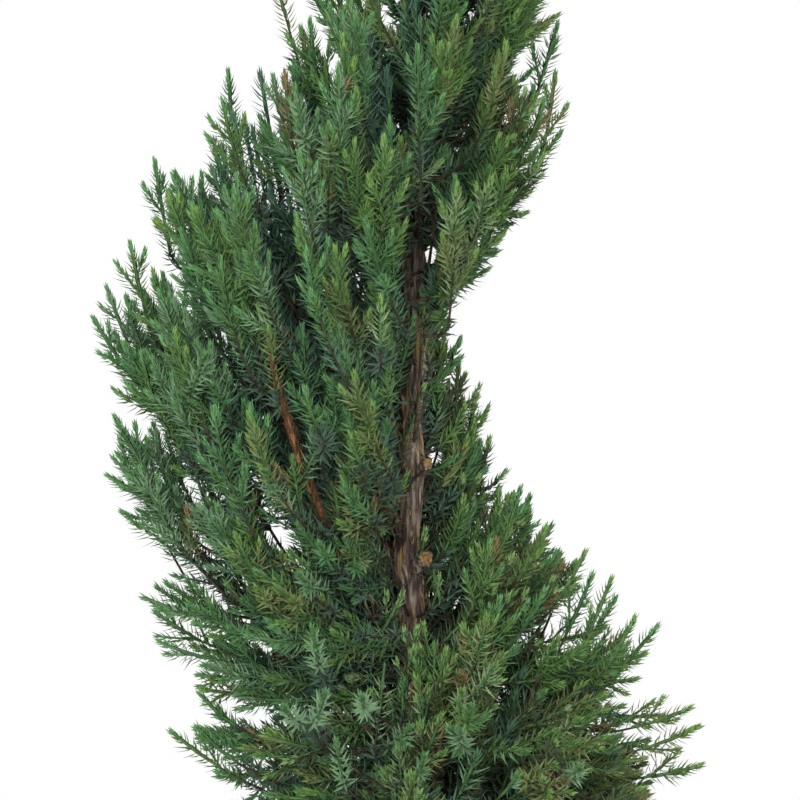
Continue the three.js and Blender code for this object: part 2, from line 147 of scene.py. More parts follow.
# Shoots with places of their own
CROSSING_SHOOTS = (  # foot and tip of those that cross in front of the trunk and of a bare bough
    ((-14.0, -16.0, 553.0), (7.0, -27.0, 609.0)),
    ((-24.0, -14.0, 520.0), (-3.0, -24.0, 557.0)),
    ((-26.0, -16.0, 452.0), (-6.0, -28.0, 486.0)),
    ((16.0, -20.0, 425.0), (7.0, -30.0, 468.0)),
    ((-6.0, -24.0, 405.0), (-1.0, -36.0, 452.0)),
    ((-22.0, -26.0, 395.0), (-16.0, -40.0, 446.0)),
    ((4.0, -30.0, 385.0), (10.0, -46.0, 430.0)),
    ((24.0, -26.0, 400.0), (18.0, -40.0, 444.0)),
    ((-8.0, -22.0, 418.0), (3.0, -33.0, 466.0)),
    ((14.0, -22.0, 402.0), (2.0, -38.0, 455.0)),
    ((-2.0, -24.0, 372.0), (6.0, -44.0, 424.0)),
    ((12.0, -12.0, 478.0), (17.0, -22.0, 497.0)),
    ((10.0, -10.0, 618.0), (6.0, -18.0, 665.0)),
    ((-20.0, -14.0, 640.0), (-12.0, -22.0, 690.0)),
    ((-11.0, -20.0, 606.0), (1.0, -30.0, 650.0)),
    ((11.0, -13.0, 560.0), (25.0, -20.0, 568.0)),
    ((5.0, -15.0, 508.0), (8.0, -21.0, 524.0)),
    ((13.0, -15.0, 501.0), (17.0, -19.0, 483.0)),
    ((-78.0, -84.0, 606.0), (-84.0, -94.0, 662.0)),
    ((-64.0, -68.0, 556.0), (-50.0, -84.0, 588.0)),
)
STARS = (  # where a pale shoot points out of the front: x, height
    (-50.0, 434.0),
    (-29.0, 431.0),
    (-1.0, 411.0),
    (7.0, 396.0),
    (-58.0, 470.0),
    (-74.0, 424.0),
    (27.0, 412.0),
    (-84.0, 560.0),
    (-120.0, 628.0),
    (60.0, 388.0),
    (-20.0, 384.0),
    (-44.0, 404.0),
    (96.0, 392.0),
    (-66.0, 500.0),
)
STAR_PROUD = 8.0  # how far its tip stands off the outline
STAR_FOOT = (36.0, 40.0, (8.0, 22.0))  # width its foot strays over, how far it lies back, and below the tip
STAR_LENGTH = 46.0
SPIRES = (  # foot and tip of those that stand out of the clipped outline, and of the leader's
    ((-160.0, -5.0, 606.0), (-190.0, -5.0, 650.0)),
    ((-160.0, 10.0, 612.0), (-183.0, 10.0, 668.0)),
    ((-156.0, -10.0, 642.0), (-168.0, -10.0, 694.0)),
    ((-145.0, 0.0, 690.0), (-154.0, 0.0, 744.0)),
    ((-106.0, 0.0, 745.0), (-110.0, 0.0, 798.0)),
    ((-150.0, 5.0, 545.0), (-178.0, 5.0, 591.0)),
    ((-138.0, -6.0, 536.0), (-181.0, -6.0, 556.0)),
    ((-112.0, 0.0, 470.0), (-160.0, 0.0, 483.0)),
    ((-106.0, 6.0, 444.0), (-151.0, 6.0, 456.0)),
    ((-98.0, 0.0, 372.0), (-143.0, 0.0, 402.0)),
    ((78.0, 0.0, 744.0), (86.0, 0.0, 796.0)),
    ((72.0, 0.0, 778.0), (87.0, 0.0, 826.0)),
    ((60.0, 4.0, 728.0), (89.0, 4.0, 762.0)),
    ((24.0, 0.0, 676.0), (56.0, 0.0, 704.0)),
    ((-70.0, 0.0, 812.0), (-84.0, 0.0, 866.0)),
    ((14.0, 0.0, 668.0), (45.0, 0.0, 680.0)),
    ((60.0, 0.0, 488.0), (80.0, 0.0, 524.0)),
    ((82.0, 0.0, 474.0), (104.0, 0.0, 510.0)),
    ((108.0, -10.0, 430.0), (133.0, -10.0, 471.0)),
    ((112.0, 5.0, 430.0), (147.0, 5.0, 465.0)),
    ((115.0, 0.0, 402.0), (167.0, 0.0, 417.0)),
    ((120.0, 6.0, 374.0), (173.0, 6.0, 382.0)),
    ((122.0, -4.0, 389.0), (171.0, -4.0, 406.0)),
    ((-104.0, 4.0, 405.0), (-127.0, 4.0, 425.0)),
    ((-103.0, -6.0, 384.0), (-128.0, -6.0, 406.0)),
    ((86.0, 0.0, 448.0), (108.0, 0.0, 496.0)),
    ((50.0, 0.0, 503.0), (65.0, 0.0, 548.0)),
    ((98.0, -8.0, 446.0), (119.0, -8.0, 494.0)),
    ((92.0, 6.0, 438.0), (122.0, 6.0, 482.0)),
    ((0.0, 0.0, 1180.0), (0.0, 0.0, 1239.0)),
    ((6.0, 4.0, 1160.0), (10.0, 6.0, 1212.0)),
    ((-6.0, -4.0, 1150.0), (-10.0, -6.0, 1205.0)),
)

# Trunk
TRUNK_TIP = 1000.0
TRUNK_RUNOUT = 1200.0  # height where the taper would end
TRUNK_RADIUS = (1.2, 15.3)  # at the runout, and how much it gains down to the ground
TRUNK_TAPER = 1.6
FLARE = (9.0, 22.0)  # root flare: extra radius at the ground, and the height over which it fades
BOW = 4.0  # the trunk bows this far to the right
WAVER = (2.2, 118.0)  # and wavers this much about that, once in this much height
WAVER_STARTS = 200.0  # the waver grows from nothing up to this height
WAVER_SLOWNESS = 1.7  # from front to back it takes this many times the height
SWINGS = (  # where the bared trunk swings to the left: how far, at what height, and half the swing's height
    (8.0, 508.0, 34.0),
    (5.0, 604.0, 26.0),
)
TRUNK_RINGS = 320
STUBS = (  # pruned stubs: height, azimuth, radius, length
    (560.0, -46 * DEG, 3.2, 6.0),
    (502.0, -52 * DEG, 4.4, 9.0),
    (655.0, -30 * DEG, 2.6, 8.0),
)
STUB_RINGS = 18
STUB_SWELL = (0.35, 2.0, 9.0)  # of the trunk: share of the stub's radius, how far above it, half the height
CUT_RINGS = (  # of a stub's cut face, from behind its rim inwards: share of the radius, and lift
    (1.0, -2.0),
    (1.08, 0.0),
    (0.9, 0.7),
    (0.65, 0.5),
    (0.35, 0.8),
)
CUT_SIDES = 28
FRAYED_STRIPS = 64
FRAYED_HEIGHTS = (440.0, 600.0)  # frayed strips stand off the trunk between these
FRAYED_LENGTH = 10.0
BARK_TWIST = 0.0012  # turns that the strips of bark wind round a limb in a millimetre
BARK_FLUTES = (  # slow waves round a limb: number, share of the radius, radians of twist in a millimetre
    (3, 0.08, 0.012),
    (2, 0.05, -0.02),
)
PLATE_EDGES = (0.38, 0.62)  # a plate of bark rises where its noise passes from one to the other
PLATE_HEIGHT = (0.5, 0.7)  # shares of the relief: a plate's least height, and what its unevenness adds
CRACK_DEPTH = 0.6  # share of the relief that the cracks lie below the limb's radius
FIBRE_HEIGHT = 0.35  # share of the relief that the fibres have
BARK_LEAST = 0.4  # the relief leaves this share of the radius everywhere

# Boughs and finer branches
BOUGH_SHARE = 0.36  # a bough's radius beside the trunk's
BOUGH_RADIUS = (2.6, 4.4)  # and its limits
BOUGH_TAPER = 0.72  # its tip beside its foot
BOUGH_RINGS = 34
BOUGH_START = 4.0  # from its box's foot up to where it leaves the trunk's middle
BOUGH_END = (3.0, 2.0)  # from the far side and the top of its box to its end
BOUGH_SAG = 0.1  # share of its run that it hangs at its bend
FRONT_BOUGHS = (  # the bare ones on the front: height on the trunk, bend, end, first and last radius
    (462.0, (-48.0, -40.0, 486.0), (-82.0, -88.0, 626.0), (2.9, 0.9)),
    (526.0, (-16.0, -15.0, 533.0), (-34.0, -23.0, 558.0), (1.8, 0.8)),
)
FRONT_RINGS = 60
BRANCH_TRIES = 260  # places tried up the trunk
BRANCH_HEIGHTS = (40.0, TRUNK_TIP - 15)  # between these
BRANCH_REACH = 0.62  # share of the crown's radius that a branch runs out
BRANCH_SLOPE = 1.25  # its rise for each unit outward
BRANCH_BEND = (0.55, 0.55, 0.3)  # shares of its run and of its rise that lie before its bend
BRANCH_COVER = 4.0  # least foliage over its middle
BRANCH_LEAST = 24.0  # shortest run
BRANCH_INSET = 25.0  # it ends at least this far inside the outline
BRANCH_THICKNESS = (0.8, 0.010)  # radius at its foot: this, and so much more for each unit of its run
BRANCH_RADIUS = (1.0, 2.3)  # and its limits
BRANCH_TAPER = 0.42
BRANCH_RINGS = 9
STEM_BEND = 1120.0  # the leader's stem goes on from the trunk's tip by way of this height
STEM_TIP = TOP - 14  # and the last needles carry on past it
STEM_RINGS = 12
WOOD_CLEAR = 0.6  # share of a sky hole's area, about its middle, that branches and shoots keep clear of
LOWEST_TWIG = SKIRT - 40

# Shoots are numbered by kind from these numbers on, and those that end on the outline from 0
FIRST_INNER = 10000
FIRST_PLACED = 20000
FIRST_INSIDE = 30000
FIRST_STAR = 40000
OUTER_TRIES = 2550  # places tried over the crown; those on its narrow parts are thinned
INNER_TRIES = 3700  # and inside it
THINNING = (30.0, 1.1)  # share kept: the radius there and 30 more, out of 1.1 times the widest radius
TIP_ROOM = 9.0  # no shoots end where the foliage round the trunk is thinner than this
TIP_LOOSE = 0.035  # share of the whole by which a tip strays from its even place
TIP_JITTER = (14.0, 33.0)  # a shoot stands out at most this far, and up to this much less
TIP_JITTER_CURVE = 1.6  # the higher this is, the more of them stand far out
TIP_SLIM = (20.0, 90.0)  # lumps and loose tips fade out from the second radius of the crown to the first
TIP_INSET = 6.0  # the last needles carry on past a shoot by this much
LUMP = 9.0  # height of the crown's soft lumps
LUMP_SIZE = 62.0
LUMPS_ROUND = 12
RISE = (14 * DEG, 58 * DEG)  # a shoot's least rise, and how much more it has high on the plant
RISE_GROWS = (400.0, 580.0)  # between these heights
RISE_NEAR_TRUNK = (60.0, 140.0)  # and, at any height, where it ends nearer the axis than this
RISE_NEAR_CHANNEL = (60.0, 160.0)  # and there only this far above the channel below
RISE_TURN_FOOT = 130.0  # a turn's lowest shoots are level; this far up it they have their full rise
RISE_SKIRT = 150.0  # and so it is above the skirt
RISE_LOOSE = 12 * DEG
SHOOT_TURN = 44 * DEG  # a shoot's heading strays by up to half of this to each side
SHOOT_BEND = 28 * DEG  # and it leaves its twig this much flatter than it ends
SHOOT_LENGTH = (62.0, 104.0)
SHOOT_ROOM = (0.9, 8.0)  # share of the way to the trunk that it may take, and the least that this way counts
SHOOT_LEAST = 20.0
SHOOT_CLIPPED = 0.8  # a shoot whose foot or bend stands out is made shorter by this factor, again and again
TIP_LEAST = 10.0  # from the axis to a shoot's tip
TRUNK_CLEAR = 3.0  # between the trunk's skin and shoots or side twigs
PLACED_SAG = np.array([0.0, 0.0, 4.0])  # how far a placed shoot's bend lies below its middle
INNER_FROM = 10.0  # from the trunk's skin out to the first inner tips
INNER_INSET = 12.0  # from the outline in to the last ones
INNER_SPREAD = (0.05, 0.85)  # shares of the disc between these that they are spread over
INNER_ROOM = 34.0  # no shoots end inside the crown where it is thinner than this
INSIDE_DEPTH = 34.0  # deeper shoots have no side twigs, and coarser needles
GREEN_REACH = 34.0  # a shoot's skin is green this far back from its tip
TWIG_GAP = 11.0  # between side twigs
TWIG_FIRST = 20.0  # from a shoot's tip to its first side twig
TWIG_LAST = 0.86  # share of its shoot, from the tip back, that has side twigs
TWIG_STRAYS = 0.7  # share of the gap by which one strays from its place
TWIG_ANGLE = 38  # degrees between a side twig and its shoot
TWIG_ANGLE_LOOSE = 12
TWIG_TURNS_BACK = 0.45  # how far it bends back towards its shoot's direction
TWIG_TURNS_UP = np.array([0.0, 0.0, 0.25])  # and upwards
TWIG_LENGTH = (7, 0.5)  # this, and this share of the way from its shoot's tip
TWIG_VARIES = (0.7, 1.25)  # that share, from twig to twig
TWIG_MOST = 30  # and at most this
TWIG_CLIPPED = (9, 30)  # clipped from this far past the outline, and gone this much further out
TWIG_LEAST = 6  # shorter ones are left out

JOINT_SHARES = (0.12, 1.0, 10)  # shoots join boughs and branches between these shares, at so many places
JOINT_HEIGHTS = (60.0, TRUNK_TIP, 10.0)  # and the trunk between these heights, at places so far apart
JOINT_RISE = 0.35  # share of its length that a twig should rise
JOINT_FLATNESS = 1.2  # what it lacks in rise counts this many times as further away
JOINT_BEND = 0.42  # share of its length from its bend to the shoot's foot
JOINT_IN_SLOT = 25.0  # the longest that may lie in the slot
JOINT_RADII = (1.2, 0.85)
BROWN_RADII = (0.95, 0.7)  # along the old part of a shoot
GREEN_RADII = (0.9, 1.4, 1.2)  # along the young part
SIDE_RADII = (0.8, 0.7)  # along a side twig

# Needles
NEEDLES_ROUND = 3  # in a whorl
NEEDLE_STEP = (2.9, 2.4)  # between whorls, low on the plant and high
NEEDLE_OPENING = ((21.0, 60.0), (14.0, 54.0))  # degrees at a tip and further back, low on the plant and high
NEEDLES_CHANGE = (420.0, 720.0)  # between these heights
NEEDLE_SIZE = (10.6, 1.85)  # length and width
DEEP_STEP = 3.4  # on deep shoots
DEEP_SIZE = (13.0, 2.0)
NEEDLED_LENGTH = 80.0  # of a shoot, back from its tip
NEW_GROWTH = (3.0, 9.0)  # length of the new growth at a tip, from shoot to shoot
NEW_GROWTH_DEPTH = 18.0  # deeper shoots have none
SHADED_PAST = (32.0, 48.0)  # past this depth, from shoot to shoot, needles take the darker colours: painted shade, partly also the darker tone of older needles
SHADED_BACK = 0.6  # the way back from a shoot's tip counts as this share of depth
NEEDLE_OPENED = 20.0  # they are fully open this far back from a tip
NEEDLE_GROWN = (0.54, 16.0)  # length of one at a tip beside a full one, and how far back they are full
NEEDLE_LENGTHS = (0.82, 1.12)  # from needle to needle
NEEDLE_WIDTHS = (0.85, 1.15)
NEEDLE_STRAYS = (0.7, 12)  # round the shoot, in radians, and in how far it opens, in degrees
NEEDLE_TWIST = 0.35  # how much its blade turns about its own length
NEEDLE_LIFT = np.array([0.0, 0.0, 0.06])  # how much it turns up
NEEDLE_SHOULDER = 0.34  # share of its length to where it is widest
NEEDLE_FOLD = 0.5  # height of its fold beside half its width
CROWDING = 1.3  # the higher this is, the closer the whorls stand towards a shoot's tip
RAGGED_RIM = (0.3, 1.2)  # no needles within the first share of a sky hole's area, and all past the second
NEEDLE_FACES = np.array([[0, 3, 1], [0, 2, 3]])

# Needle colours, from cool to warm, and the share of its kind that each takes
TIP_COLOURS = (
    ("new_needles_blue", "#4f7749", 0.46),
    ("new_needles_bright", "#5e7d40", 0.36),
    ("new_needles_pale", "#66834e", 0.18),
)
OUTER_COLOURS = (
    ("needles_glaucous", "#5c7958", 0.08),
    ("needles_bluish", "#446942", 0.26),
    ("needles_green", "#4d6b39", 0.29),
    ("needles_olive", "#616c40", 0.15),
    ("needles_pale_olive", "#6a7f58", 0.06),
    # dark needles that the warm picks send low on the right: partly painted shade
    ("needles_dusky", "#3a422b", 0.16),
)
# Darker colours for needles deep in the crown and far back on shoots: painted shade, partly also the darker
# tone of older needles
SHADED_COLOURS = (
    ("needles_shaded", "#426050", 0.3),
    ("needles_deep", "#4d6e50", 0.4),
    ("needles_deep_olive", "#485233", 0.3),
)
DRY_COLOUR = "#6e603f"
DRY_SHARE = (0.012, 0.04)  # over the crown, and low on its right side
DRY_ACROSS = (-20.0, 60.0)  # which begins between these X
DRY_HEIGHTS = (480.0, 620.0)  # and ends between these heights
CHANCE = (0.88, 0.12)  # parts of a leading shoot's and of a single twig's chance in a needle's colour
STAR_COOLNESS = 2  # more than any chance, so that the stars take the coolest colour
# Warmer picks take the olive and the dark dusky needles: the olive is the plant's own tone, but the dusky
# ones darken the crown low on its right as partly painted shade, on the side away from the key light
WARMTH = 0.65  # part of a needle's place
WARM_ACROSS = (-170.0, 50.0)  # the crown grows warmer to the right between these X
WARM_HEIGHTS = (380.0, 780.0)  # and cooler between these heights
WARM_BY_HEIGHT = (1.1, 0.5)  # how warm it is at the foot, and how much of that goes
COOL_EDGE = (60.0, 150.0)  # and between these X it grows a little cooler again
COOL_EDGE_SHARE = 0.25
# Inner needles: dark green, partly the tone of older needles, partly painted shade inside the crown
INNER_COLOUR = "#374b3c"

# Stage, in metres
CAMERA_HEIGHT = 0.602
CAMERA_ASIDE = -0.007
CAMERA_AWAY = 2.6
VIEW_WIDTH = 0.48  # across the view at the trunk
SENSOR_WIDTH = 36  # millimetres
FLOOR_RADIUS = 3.0


# ---------------------------------------------------------------- numbers

def clamp(x):
    """Values held between 0 and 1."""
    return np.clip(x, 0.0, 1.0)


def smooth(low, high, x):
    """0 below low, 1 above high, and an S-shaped rise between them."""
    t = clamp((x - low) / (high - low))
    return t * t * (3 - 2 * t)


def mix(a, b, t):
    """a where t is 0, b where it is 1, and in a straight line between and past them."""
    return a + (b - a) * t


def even(k, n):
    """Number k of series n, spread evenly over 0 to 1 by powers of the root of x^4 = x + 1."""
    return ((k + 1) / 1.2207440846057596 ** (n + 1)) % 1.0


def loose(k, n):
    """Number k of series n, spread over 0 to 1 without order: the far digits of a sine."""
    return (np.sin((k + 1) * 12.9898 + n * 78.233) * 43758.5453) % 1.0


def level(values):
    """Each value's rank among all, from 0 to 1."""
    ranks = np.empty(len(values))
    ranks[np.argsort(values, kind="stable")] = np.arange(len(values)) / len(values)
    return ranks


def numbered(counts):
    """For things that stand in groups of these counts: each one's group, and its number there, from 0."""
    group = np.repeat(np.arange(len(counts)), counts)
    return group, np.arange(len(group)) - np.repeat(np.cumsum(counts) - counts, counts)


def unit(v):
    """Vectors drawn to a length of 1."""
    return v / np.maximum(np.linalg.norm(v, axis=-1, keepdims=True), 1e-9)


def at(azimuth, r, z):
    """Points at an azimuth, a distance from the axis and a height."""
    azimuth, r, z = np.broadcast_arrays(azimuth, r, z)
    return np.stack([r * np.cos(azimuth), r * np.sin(azimuth), z], axis=-1)


def from_axis(p):
    """How far points are from the upright axis."""
    return np.hypot(p[:, 0], p[:, 1])


def spoke(angle, u, v):
    """The vectors at angles from u towards v: u times the cosine and v times the sine."""
    return np.cos(angle)[..., None] * u + np.sin(angle)[..., None] * v


def value_noise(x, y, period_x, seed):
    """Smooth noise from 0 to 1 over a plane: a value on each whole-number corner, blended by S-curves
    between them. It repeats after period_x in x, so that it closes round a limb."""
    xi, yi = np.floor(x), np.floor(y)
    fx, fy = x - xi, y - yi
    fx, fy = fx * fx * (3 - 2 * fx), fy * fy * (3 - 2 * fy)

    def corner(dx, dy):
        return loose(((xi + dx) % period_x) * 57.0 + (yi + dy) * 131.0, seed)

    low = mix(corner(0, 0), corner(1, 0), fx)
    high = mix(corner(0, 1), corner(1, 1), fx)
    return mix(low, high, fy)


# ---------------------------------------------------------------- the crown's outline

def channel_height(a):
    """The winding channel's height at a counted azimuth: below its top by a reach that shrinks by the same
    share in each half turn, and lifted by a bell curve across the front."""
    lift = CHANNEL_LIFT * np.exp(-(((a - CHANNEL_LIFT_AT) / CHANNEL_LIFT_WIDTH) ** 2))
    return CHANNEL_TOP - CHANNEL_REACH * CHANNEL_SHRINK ** (a / np.pi) + lift


def envelope(z):
    """Radius of the whole clipped cone at a height: the widest radius less a power of the way up, and less
    the square of the way down below the widest turn."""
    below = WIDEST_RADIUS - TUCK * ((WIDEST - z) / (WIDEST - SKIRT)) ** 2
    above = WIDEST_RADIUS * (1 - clamp((z - WIDEST) / (TOP - WIDEST)) ** BLUNTNESS)
    return np.where(z < WIDEST, below, above)


def turn_at(azimuth, z):
    """The heights of the lower and the upper channel of the turn that a point lies in. The azimuth is
    counted on by full turns until the next channel is above the point."""
    a = azimuth - 2 * TURN
    for _ in range(4):
        a = np.where(channel_height(a + TURN) <= z, a + TURN, a)
    return channel_height(a), channel_height(a + TURN)


def trunk_point(z):
    """The trunk's middle at a height: a half wave for its bow, a fading-in wave for its waver, and a bell
    curve to the left for each swing."""
    waver = WAVER[0] * smooth(0, WAVER_STARTS, z)
    x = BOW * np.sin(np.pi * z / TRUNK_RUNOUT) + waver * np.sin(TURN * z / WAVER[1])
    for far, height, half_height in SWINGS:
        x = x - far * np.exp(-(((z - height) / half_height) ** 2))
    y = waver * np.sin(TURN * z / (WAVER_SLOWNESS * WAVER[1]))
    return np.stack([x, y, z + 0 * x], axis=-1)


def trunk_radius(z):
    """The trunk's radius at a height: a power of the way down from the runout, a root flare that dies away,
    and a bell curve at each stub."""
    taper = np.maximum(0, 1 - z / TRUNK_RUNOUT) ** TRUNK_TAPER
    swell, above, half_height = STUB_SWELL
    knots = sum(
        swell * radius * np.exp(-(((z - height - above) / half_height) ** 2))
        for height, _, radius, _ in STUBS
    )
    return TRUNK_RADIUS[0] + TRUNK_RADIUS[1] * taper + FLARE[0] * np.exp(-z / FLARE[1]) + knots


def crown_radius(azimuth, z):
    """The outline's distance from the axis: a blunt cone, cut in to a small radius along the winding
    channel, with a full underside above the channel and a long slope below it."""
    low, high = turn_at(azimuth, z)
    tall = high - low
    over = clamp((z - low) / np.minimum(UNDERSIDE[0] * tall, UNDERSIDE[1])) ** UNDERSIDE_CURVE
    under = clamp((high - z) / np.minimum(LEDGE[0] * tall, LEDGE[1])) ** LEDGE_CURVE
    share = mix(np.minimum(over, under), 1.0, smooth(*CHANNEL_FADES, z))
    full = envelope(z) * (1 - LEAN * np.cos(azimuth))
    floor = np.minimum(CHANNEL_RADIUS, CHANNEL_SHARE * full)
    return mix(floor, full, share)


def stands_out(p):
    """Whether points lie outside the crown's outline and its slack."""
    return from_axis(p) > crown_radius(np.arctan2(p[:, 1], p[:, 0]), p[:, 2]) + OUTLINE_SLACK


def in_slot(p):
    """Whether points lie in the slot that shows the trunk from the front."""
    x, y, z = p[..., 0], p[..., 1], p[..., 2]
    ends = smooth(BARE_HEIGHTS[0], BARE_HEIGHTS[0] + BARE_SOFTNESS, z)
    ends = ends * (1 - smooth(BARE_HEIGHTS[1] - BARE_SOFTNESS, BARE_HEIGHTS[1], z))
    aside = np.abs(x - trunk_point(z)[..., 0] - BARE_ASIDE)
    return (aside < BARE_HALF_WIDTH * ends) & (y < BARE_BACK)


def in_gap(p, sky_share):
    """Whether points lie in a parting of the front foliage or in a hole right through the crown, or in that
    share of the hole about its middle."""
    x, y, z = p[..., 0], p[..., 1], p[..., 2]
    found = np.zeros(x.shape, bool)
    for places, furthest, share in ((PARTINGS, PARTING_BACK, 1.0), (SKY_HOLES, np.inf, sky_share)):
        for middle, height, half_width, half_height in places:
            far = ((x - middle) / half_width) ** 2 + ((z - height) / half_height) ** 2
            found |= (far < share) & (y < furthest)
    return found


def crosses_opening(p0, p1, p2):
    """Whether bent paths pass through the slot, a parting or the middle of a hole."""
    points = [bend_point(p0, p1, p2, t) for t in np.linspace(0, 1, 19)]
    return np.any([in_slot(p) | in_gap(p, WOOD_CLEAR) for p in points], axis=0)


def lumps(azimuth, z):
    """Soft lumps of the crown, from -1 to 1."""
    turns = (azimuth / TURN) % 1.0
    return 2 * value_noise(turns * LUMPS_ROUND, z / LUMP_SIZE, LUMPS_ROUND, 5) - 1


def hollows(azimuth, z):
    """How far the clipped face is hollowed, by a bell curve round each hollow's middle."""
    depth = 0.0
    for centre, height, half_width, half_height, deep in HOLLOWS:
        aside = (azimuth - centre + TURN / 2) % TURN - TURN / 2
        depth = depth + deep * np.exp(-((aside / half_width) ** 2) - ((z - height) / half_height) ** 2)
    return depth


# ---------------------------------------------------------------- meshes

def mesh_piece(name, vertices, faces, material, slot, smooth_shaded=False):
    """A piece from arrays: vertices in millimetres, and faces as rows of vertex numbers."""
    mesh = bpy.data.meshes.new(name)
    corners = faces.shape[1]
    mesh.vertices.add(len(vertices))
    mesh.vertices.foreach_set("co", (vertices * MM).astype(np.float32).ravel())
    mesh.loops.add(faces.size)
    mesh.loops.foreach_set("vertex_index", faces.astype(np.int32).ravel())
    mesh.polygons.add(len(faces))
    mesh.polygons.foreach_set("loop_start", np.arange(0, faces.size, corners, dtype=np.int32))
    mesh.polygons.foreach_set("use_smooth", np.full(len(faces), smooth_shaded))
    mesh.update(calc_edges=True)
    mesh.validate()
    mesh.materials.append(material)
    piece = bpy.data.objects.new(name, mesh)
    bpy.context.scene.collection.objects.link(piece)
    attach(piece, "root")
    return piece


def joined(parts):
    """Several (vertices, faces) as one."""
    firsts = np.cumsum([0] + [len(vertices) for vertices, _ in parts[:-1]])
    faces = [faces + first for (_, faces), first in zip(parts, firsts)]
    return np.concatenate([vertices for vertices, _ in parts]), np.concatenate(faces)


def across_frame(along):
    """Two unit vectors square to each direction and to each other."""
    helper = np.where(np.abs(along[..., 2:3]) > 0.9, [1.0, 0.0, 0.0], [0.0, 0.0, 1.0])
    u = unit(np.cross(helper, along))
    return u, np.cross(along, u)


def bend_point(p0, p1, p2, t):
    """A point along a bent path: the start, the bend and the end, weighted by (1-t)^2, 2t(1-t) and t^2."""
    t = np.asarray(t)[..., None]
    return (1 - t) ** 2 * p0 + 2 * t * (1 - t) * p1 + t**2 * p2


def bend_direction(p0, p1, p2, t):
    """The direction of a bent path there: its two legs, weighted by 1-t and t."""
    t = t[..., None]
    return unit((1 - t) * (p1 - p0) + t * (p2 - p1) + 1e-6)


def path_points(p0, p1, p2, steps, low=0.0, high=1.0):
    """Points along bent paths, from share low to share high of each, both of which may differ by path."""
    return np.stack([bend_point(p0, p1, p2, mix(low, high, t)) for t in np.linspace(0, 1, steps)], axis=1)


def ring_walls(rings, sides):
    """Three-cornered faces that join rings of points, numbered one ring after another."""
    i, j = np.meshgrid(np.arange(rings - 1), np.arange(sides), indexing="ij")
    a = (i * sides + j).ravel()
    b = (i * sides + (j + 1) % sides).ravel()
    return np.concatenate([np.stack([a, b, b + sides], 1), np.stack([a, b + sides, a + sides], 1)])


def ring_fan(ring, sides, point):
    """Three-cornered faces that draw a ring to one point past it."""
    j = np.arange(sides)
    return np.stack([ring * sides + j, ring * sides + (j + 1) % sides, np.full(sides, point)], 1)


def closed_rings(rings, sides):
    """The faces of rings that are closed at both ends, by a point before the first ring and a point past the
    last. Those two are numbered next after the rings."""
    foot = ring_fan(0, sides, rings * sides)[:, [0, 2, 1]]
    head = ring_fan(rings - 1, sides, rings * sides + 1)
    return np.concatenate([ring_walls(rings, sides), foot, head])


def tubes(paths, radii, sides):
    """Many round limbs at once: a ring of points round every point of every path, joined ring to ring, and
    drawn to one point at the end. Returns the vertices and the three-cornered faces."""
    many, steps, _ = paths.shape
    radii = np.broadcast_to(radii, (many, steps))
    along = unit(np.gradient(paths, axis=1))
    u, v = across_frame(along)
    angle = np.arange(sides) * TURN / sides
    ring = paths[:, :, None] + radii[:, :, None, None] * spoke(angle, u[:, :, None], v[:, :, None])
    ends = paths[:, -1] + along[:, -1] * radii[:, -1:]
    vertices = np.concatenate([ring.reshape(many, -1, 3), ends[:, None]], axis=1)
    one = np.concatenate([ring_walls(steps, sides), ring_fan(steps - 1, sides, steps * sides)])
    firsts = np.arange(many) * vertices.shape[1]
    return vertices.reshape(-1, 3), (one[None] + firsts[:, None, None]).reshape(-1, 3)


def barked_limb(path, radii, sides, strip_turns, strip_mm, relief_mm, seed, point=1.0):
    """A limb with bark relief. Its skin is a grid of rings: each point lies at the limb's radius, fluted by
    two slow waves, plus plates that stand proud where a noise drawn out along the limb is high, plus fine
    fibres. It is closed by a point at its foot, and by one past its end, by point times the radius there."""
    along = unit(np.gradient(path, axis=0))
    length = np.concatenate([[0], np.cumsum(np.linalg.norm(np.diff(path, axis=0), axis=1))])
    u, v = across_frame(along)
    turn, way = np.meshgrid(np.arange(sides) / sides, length)
    skew = turn + BARK_TWIST * way
    plates = smooth(*PLATE_EDGES, value_noise(skew * strip_turns, way / strip_mm, strip_turns, seed))
    edges = value_noise(skew * strip_turns * 3, way / (strip_mm * 0.6), strip_turns * 3, seed + 1)
    fibre = value_noise(skew * strip_turns * 6, way / (strip_mm * 0.25), strip_turns * 6, seed + 2)
    fluted = 1.0
    for waves, depth, twist in BARK_FLUTES:
        fluted = fluted + depth * np.sin(waves * turn * TURN + twist * way)
    raised = plates * (PLATE_HEIGHT[0] + PLATE_HEIGHT[1] * edges) - CRACK_DEPTH + FIBRE_HEIGHT * (fibre - 0.5)
    r = np.maximum(radii[:, None] * fluted + relief_mm * raised, BARK_LEAST * radii[:, None])
    ring = path[:, None] + r[..., None] * spoke(turn * TURN, u[:, None], v[:, None])
    vertices = np.concatenate([ring.reshape(-1, 3), path[:1], path[-1:] + along[-1:] * radii[-1] * point])
    return vertices, closed_rings(len(path), sides)


def cut_face(middle, direction, radius, seed):
    """A pruning cut: rings about the middle of the stub out to a ragged rim, torn a little up and down by
    noise, and closed by a point before and a point behind."""
    share, lift = np.array(CUT_RINGS).T[..., None]
    turn = np.arange(CUT_SIDES)[None] / CUT_SIDES
    ragged = radius * share * mix(0.82, 1.12, value_noise(turn * 9 + 0 * share, share * 2, 9, seed))
    height = lift + 0.9 * (value_noise(turn * 11 + 0 * share, share * 5, 11, seed + 1) - 0.5)
    ring = middle + ragged[..., None] * spoke(turn * TURN, *across_frame(direction))
    ring = ring + height[..., None] * direction
    vertices = np.concatenate([ring.reshape(-1, 3), [middle - 2 * direction, middle + 0.7 * direction]])
    return vertices, closed_rings(len(CUT_RINGS), CUT_SIDES)


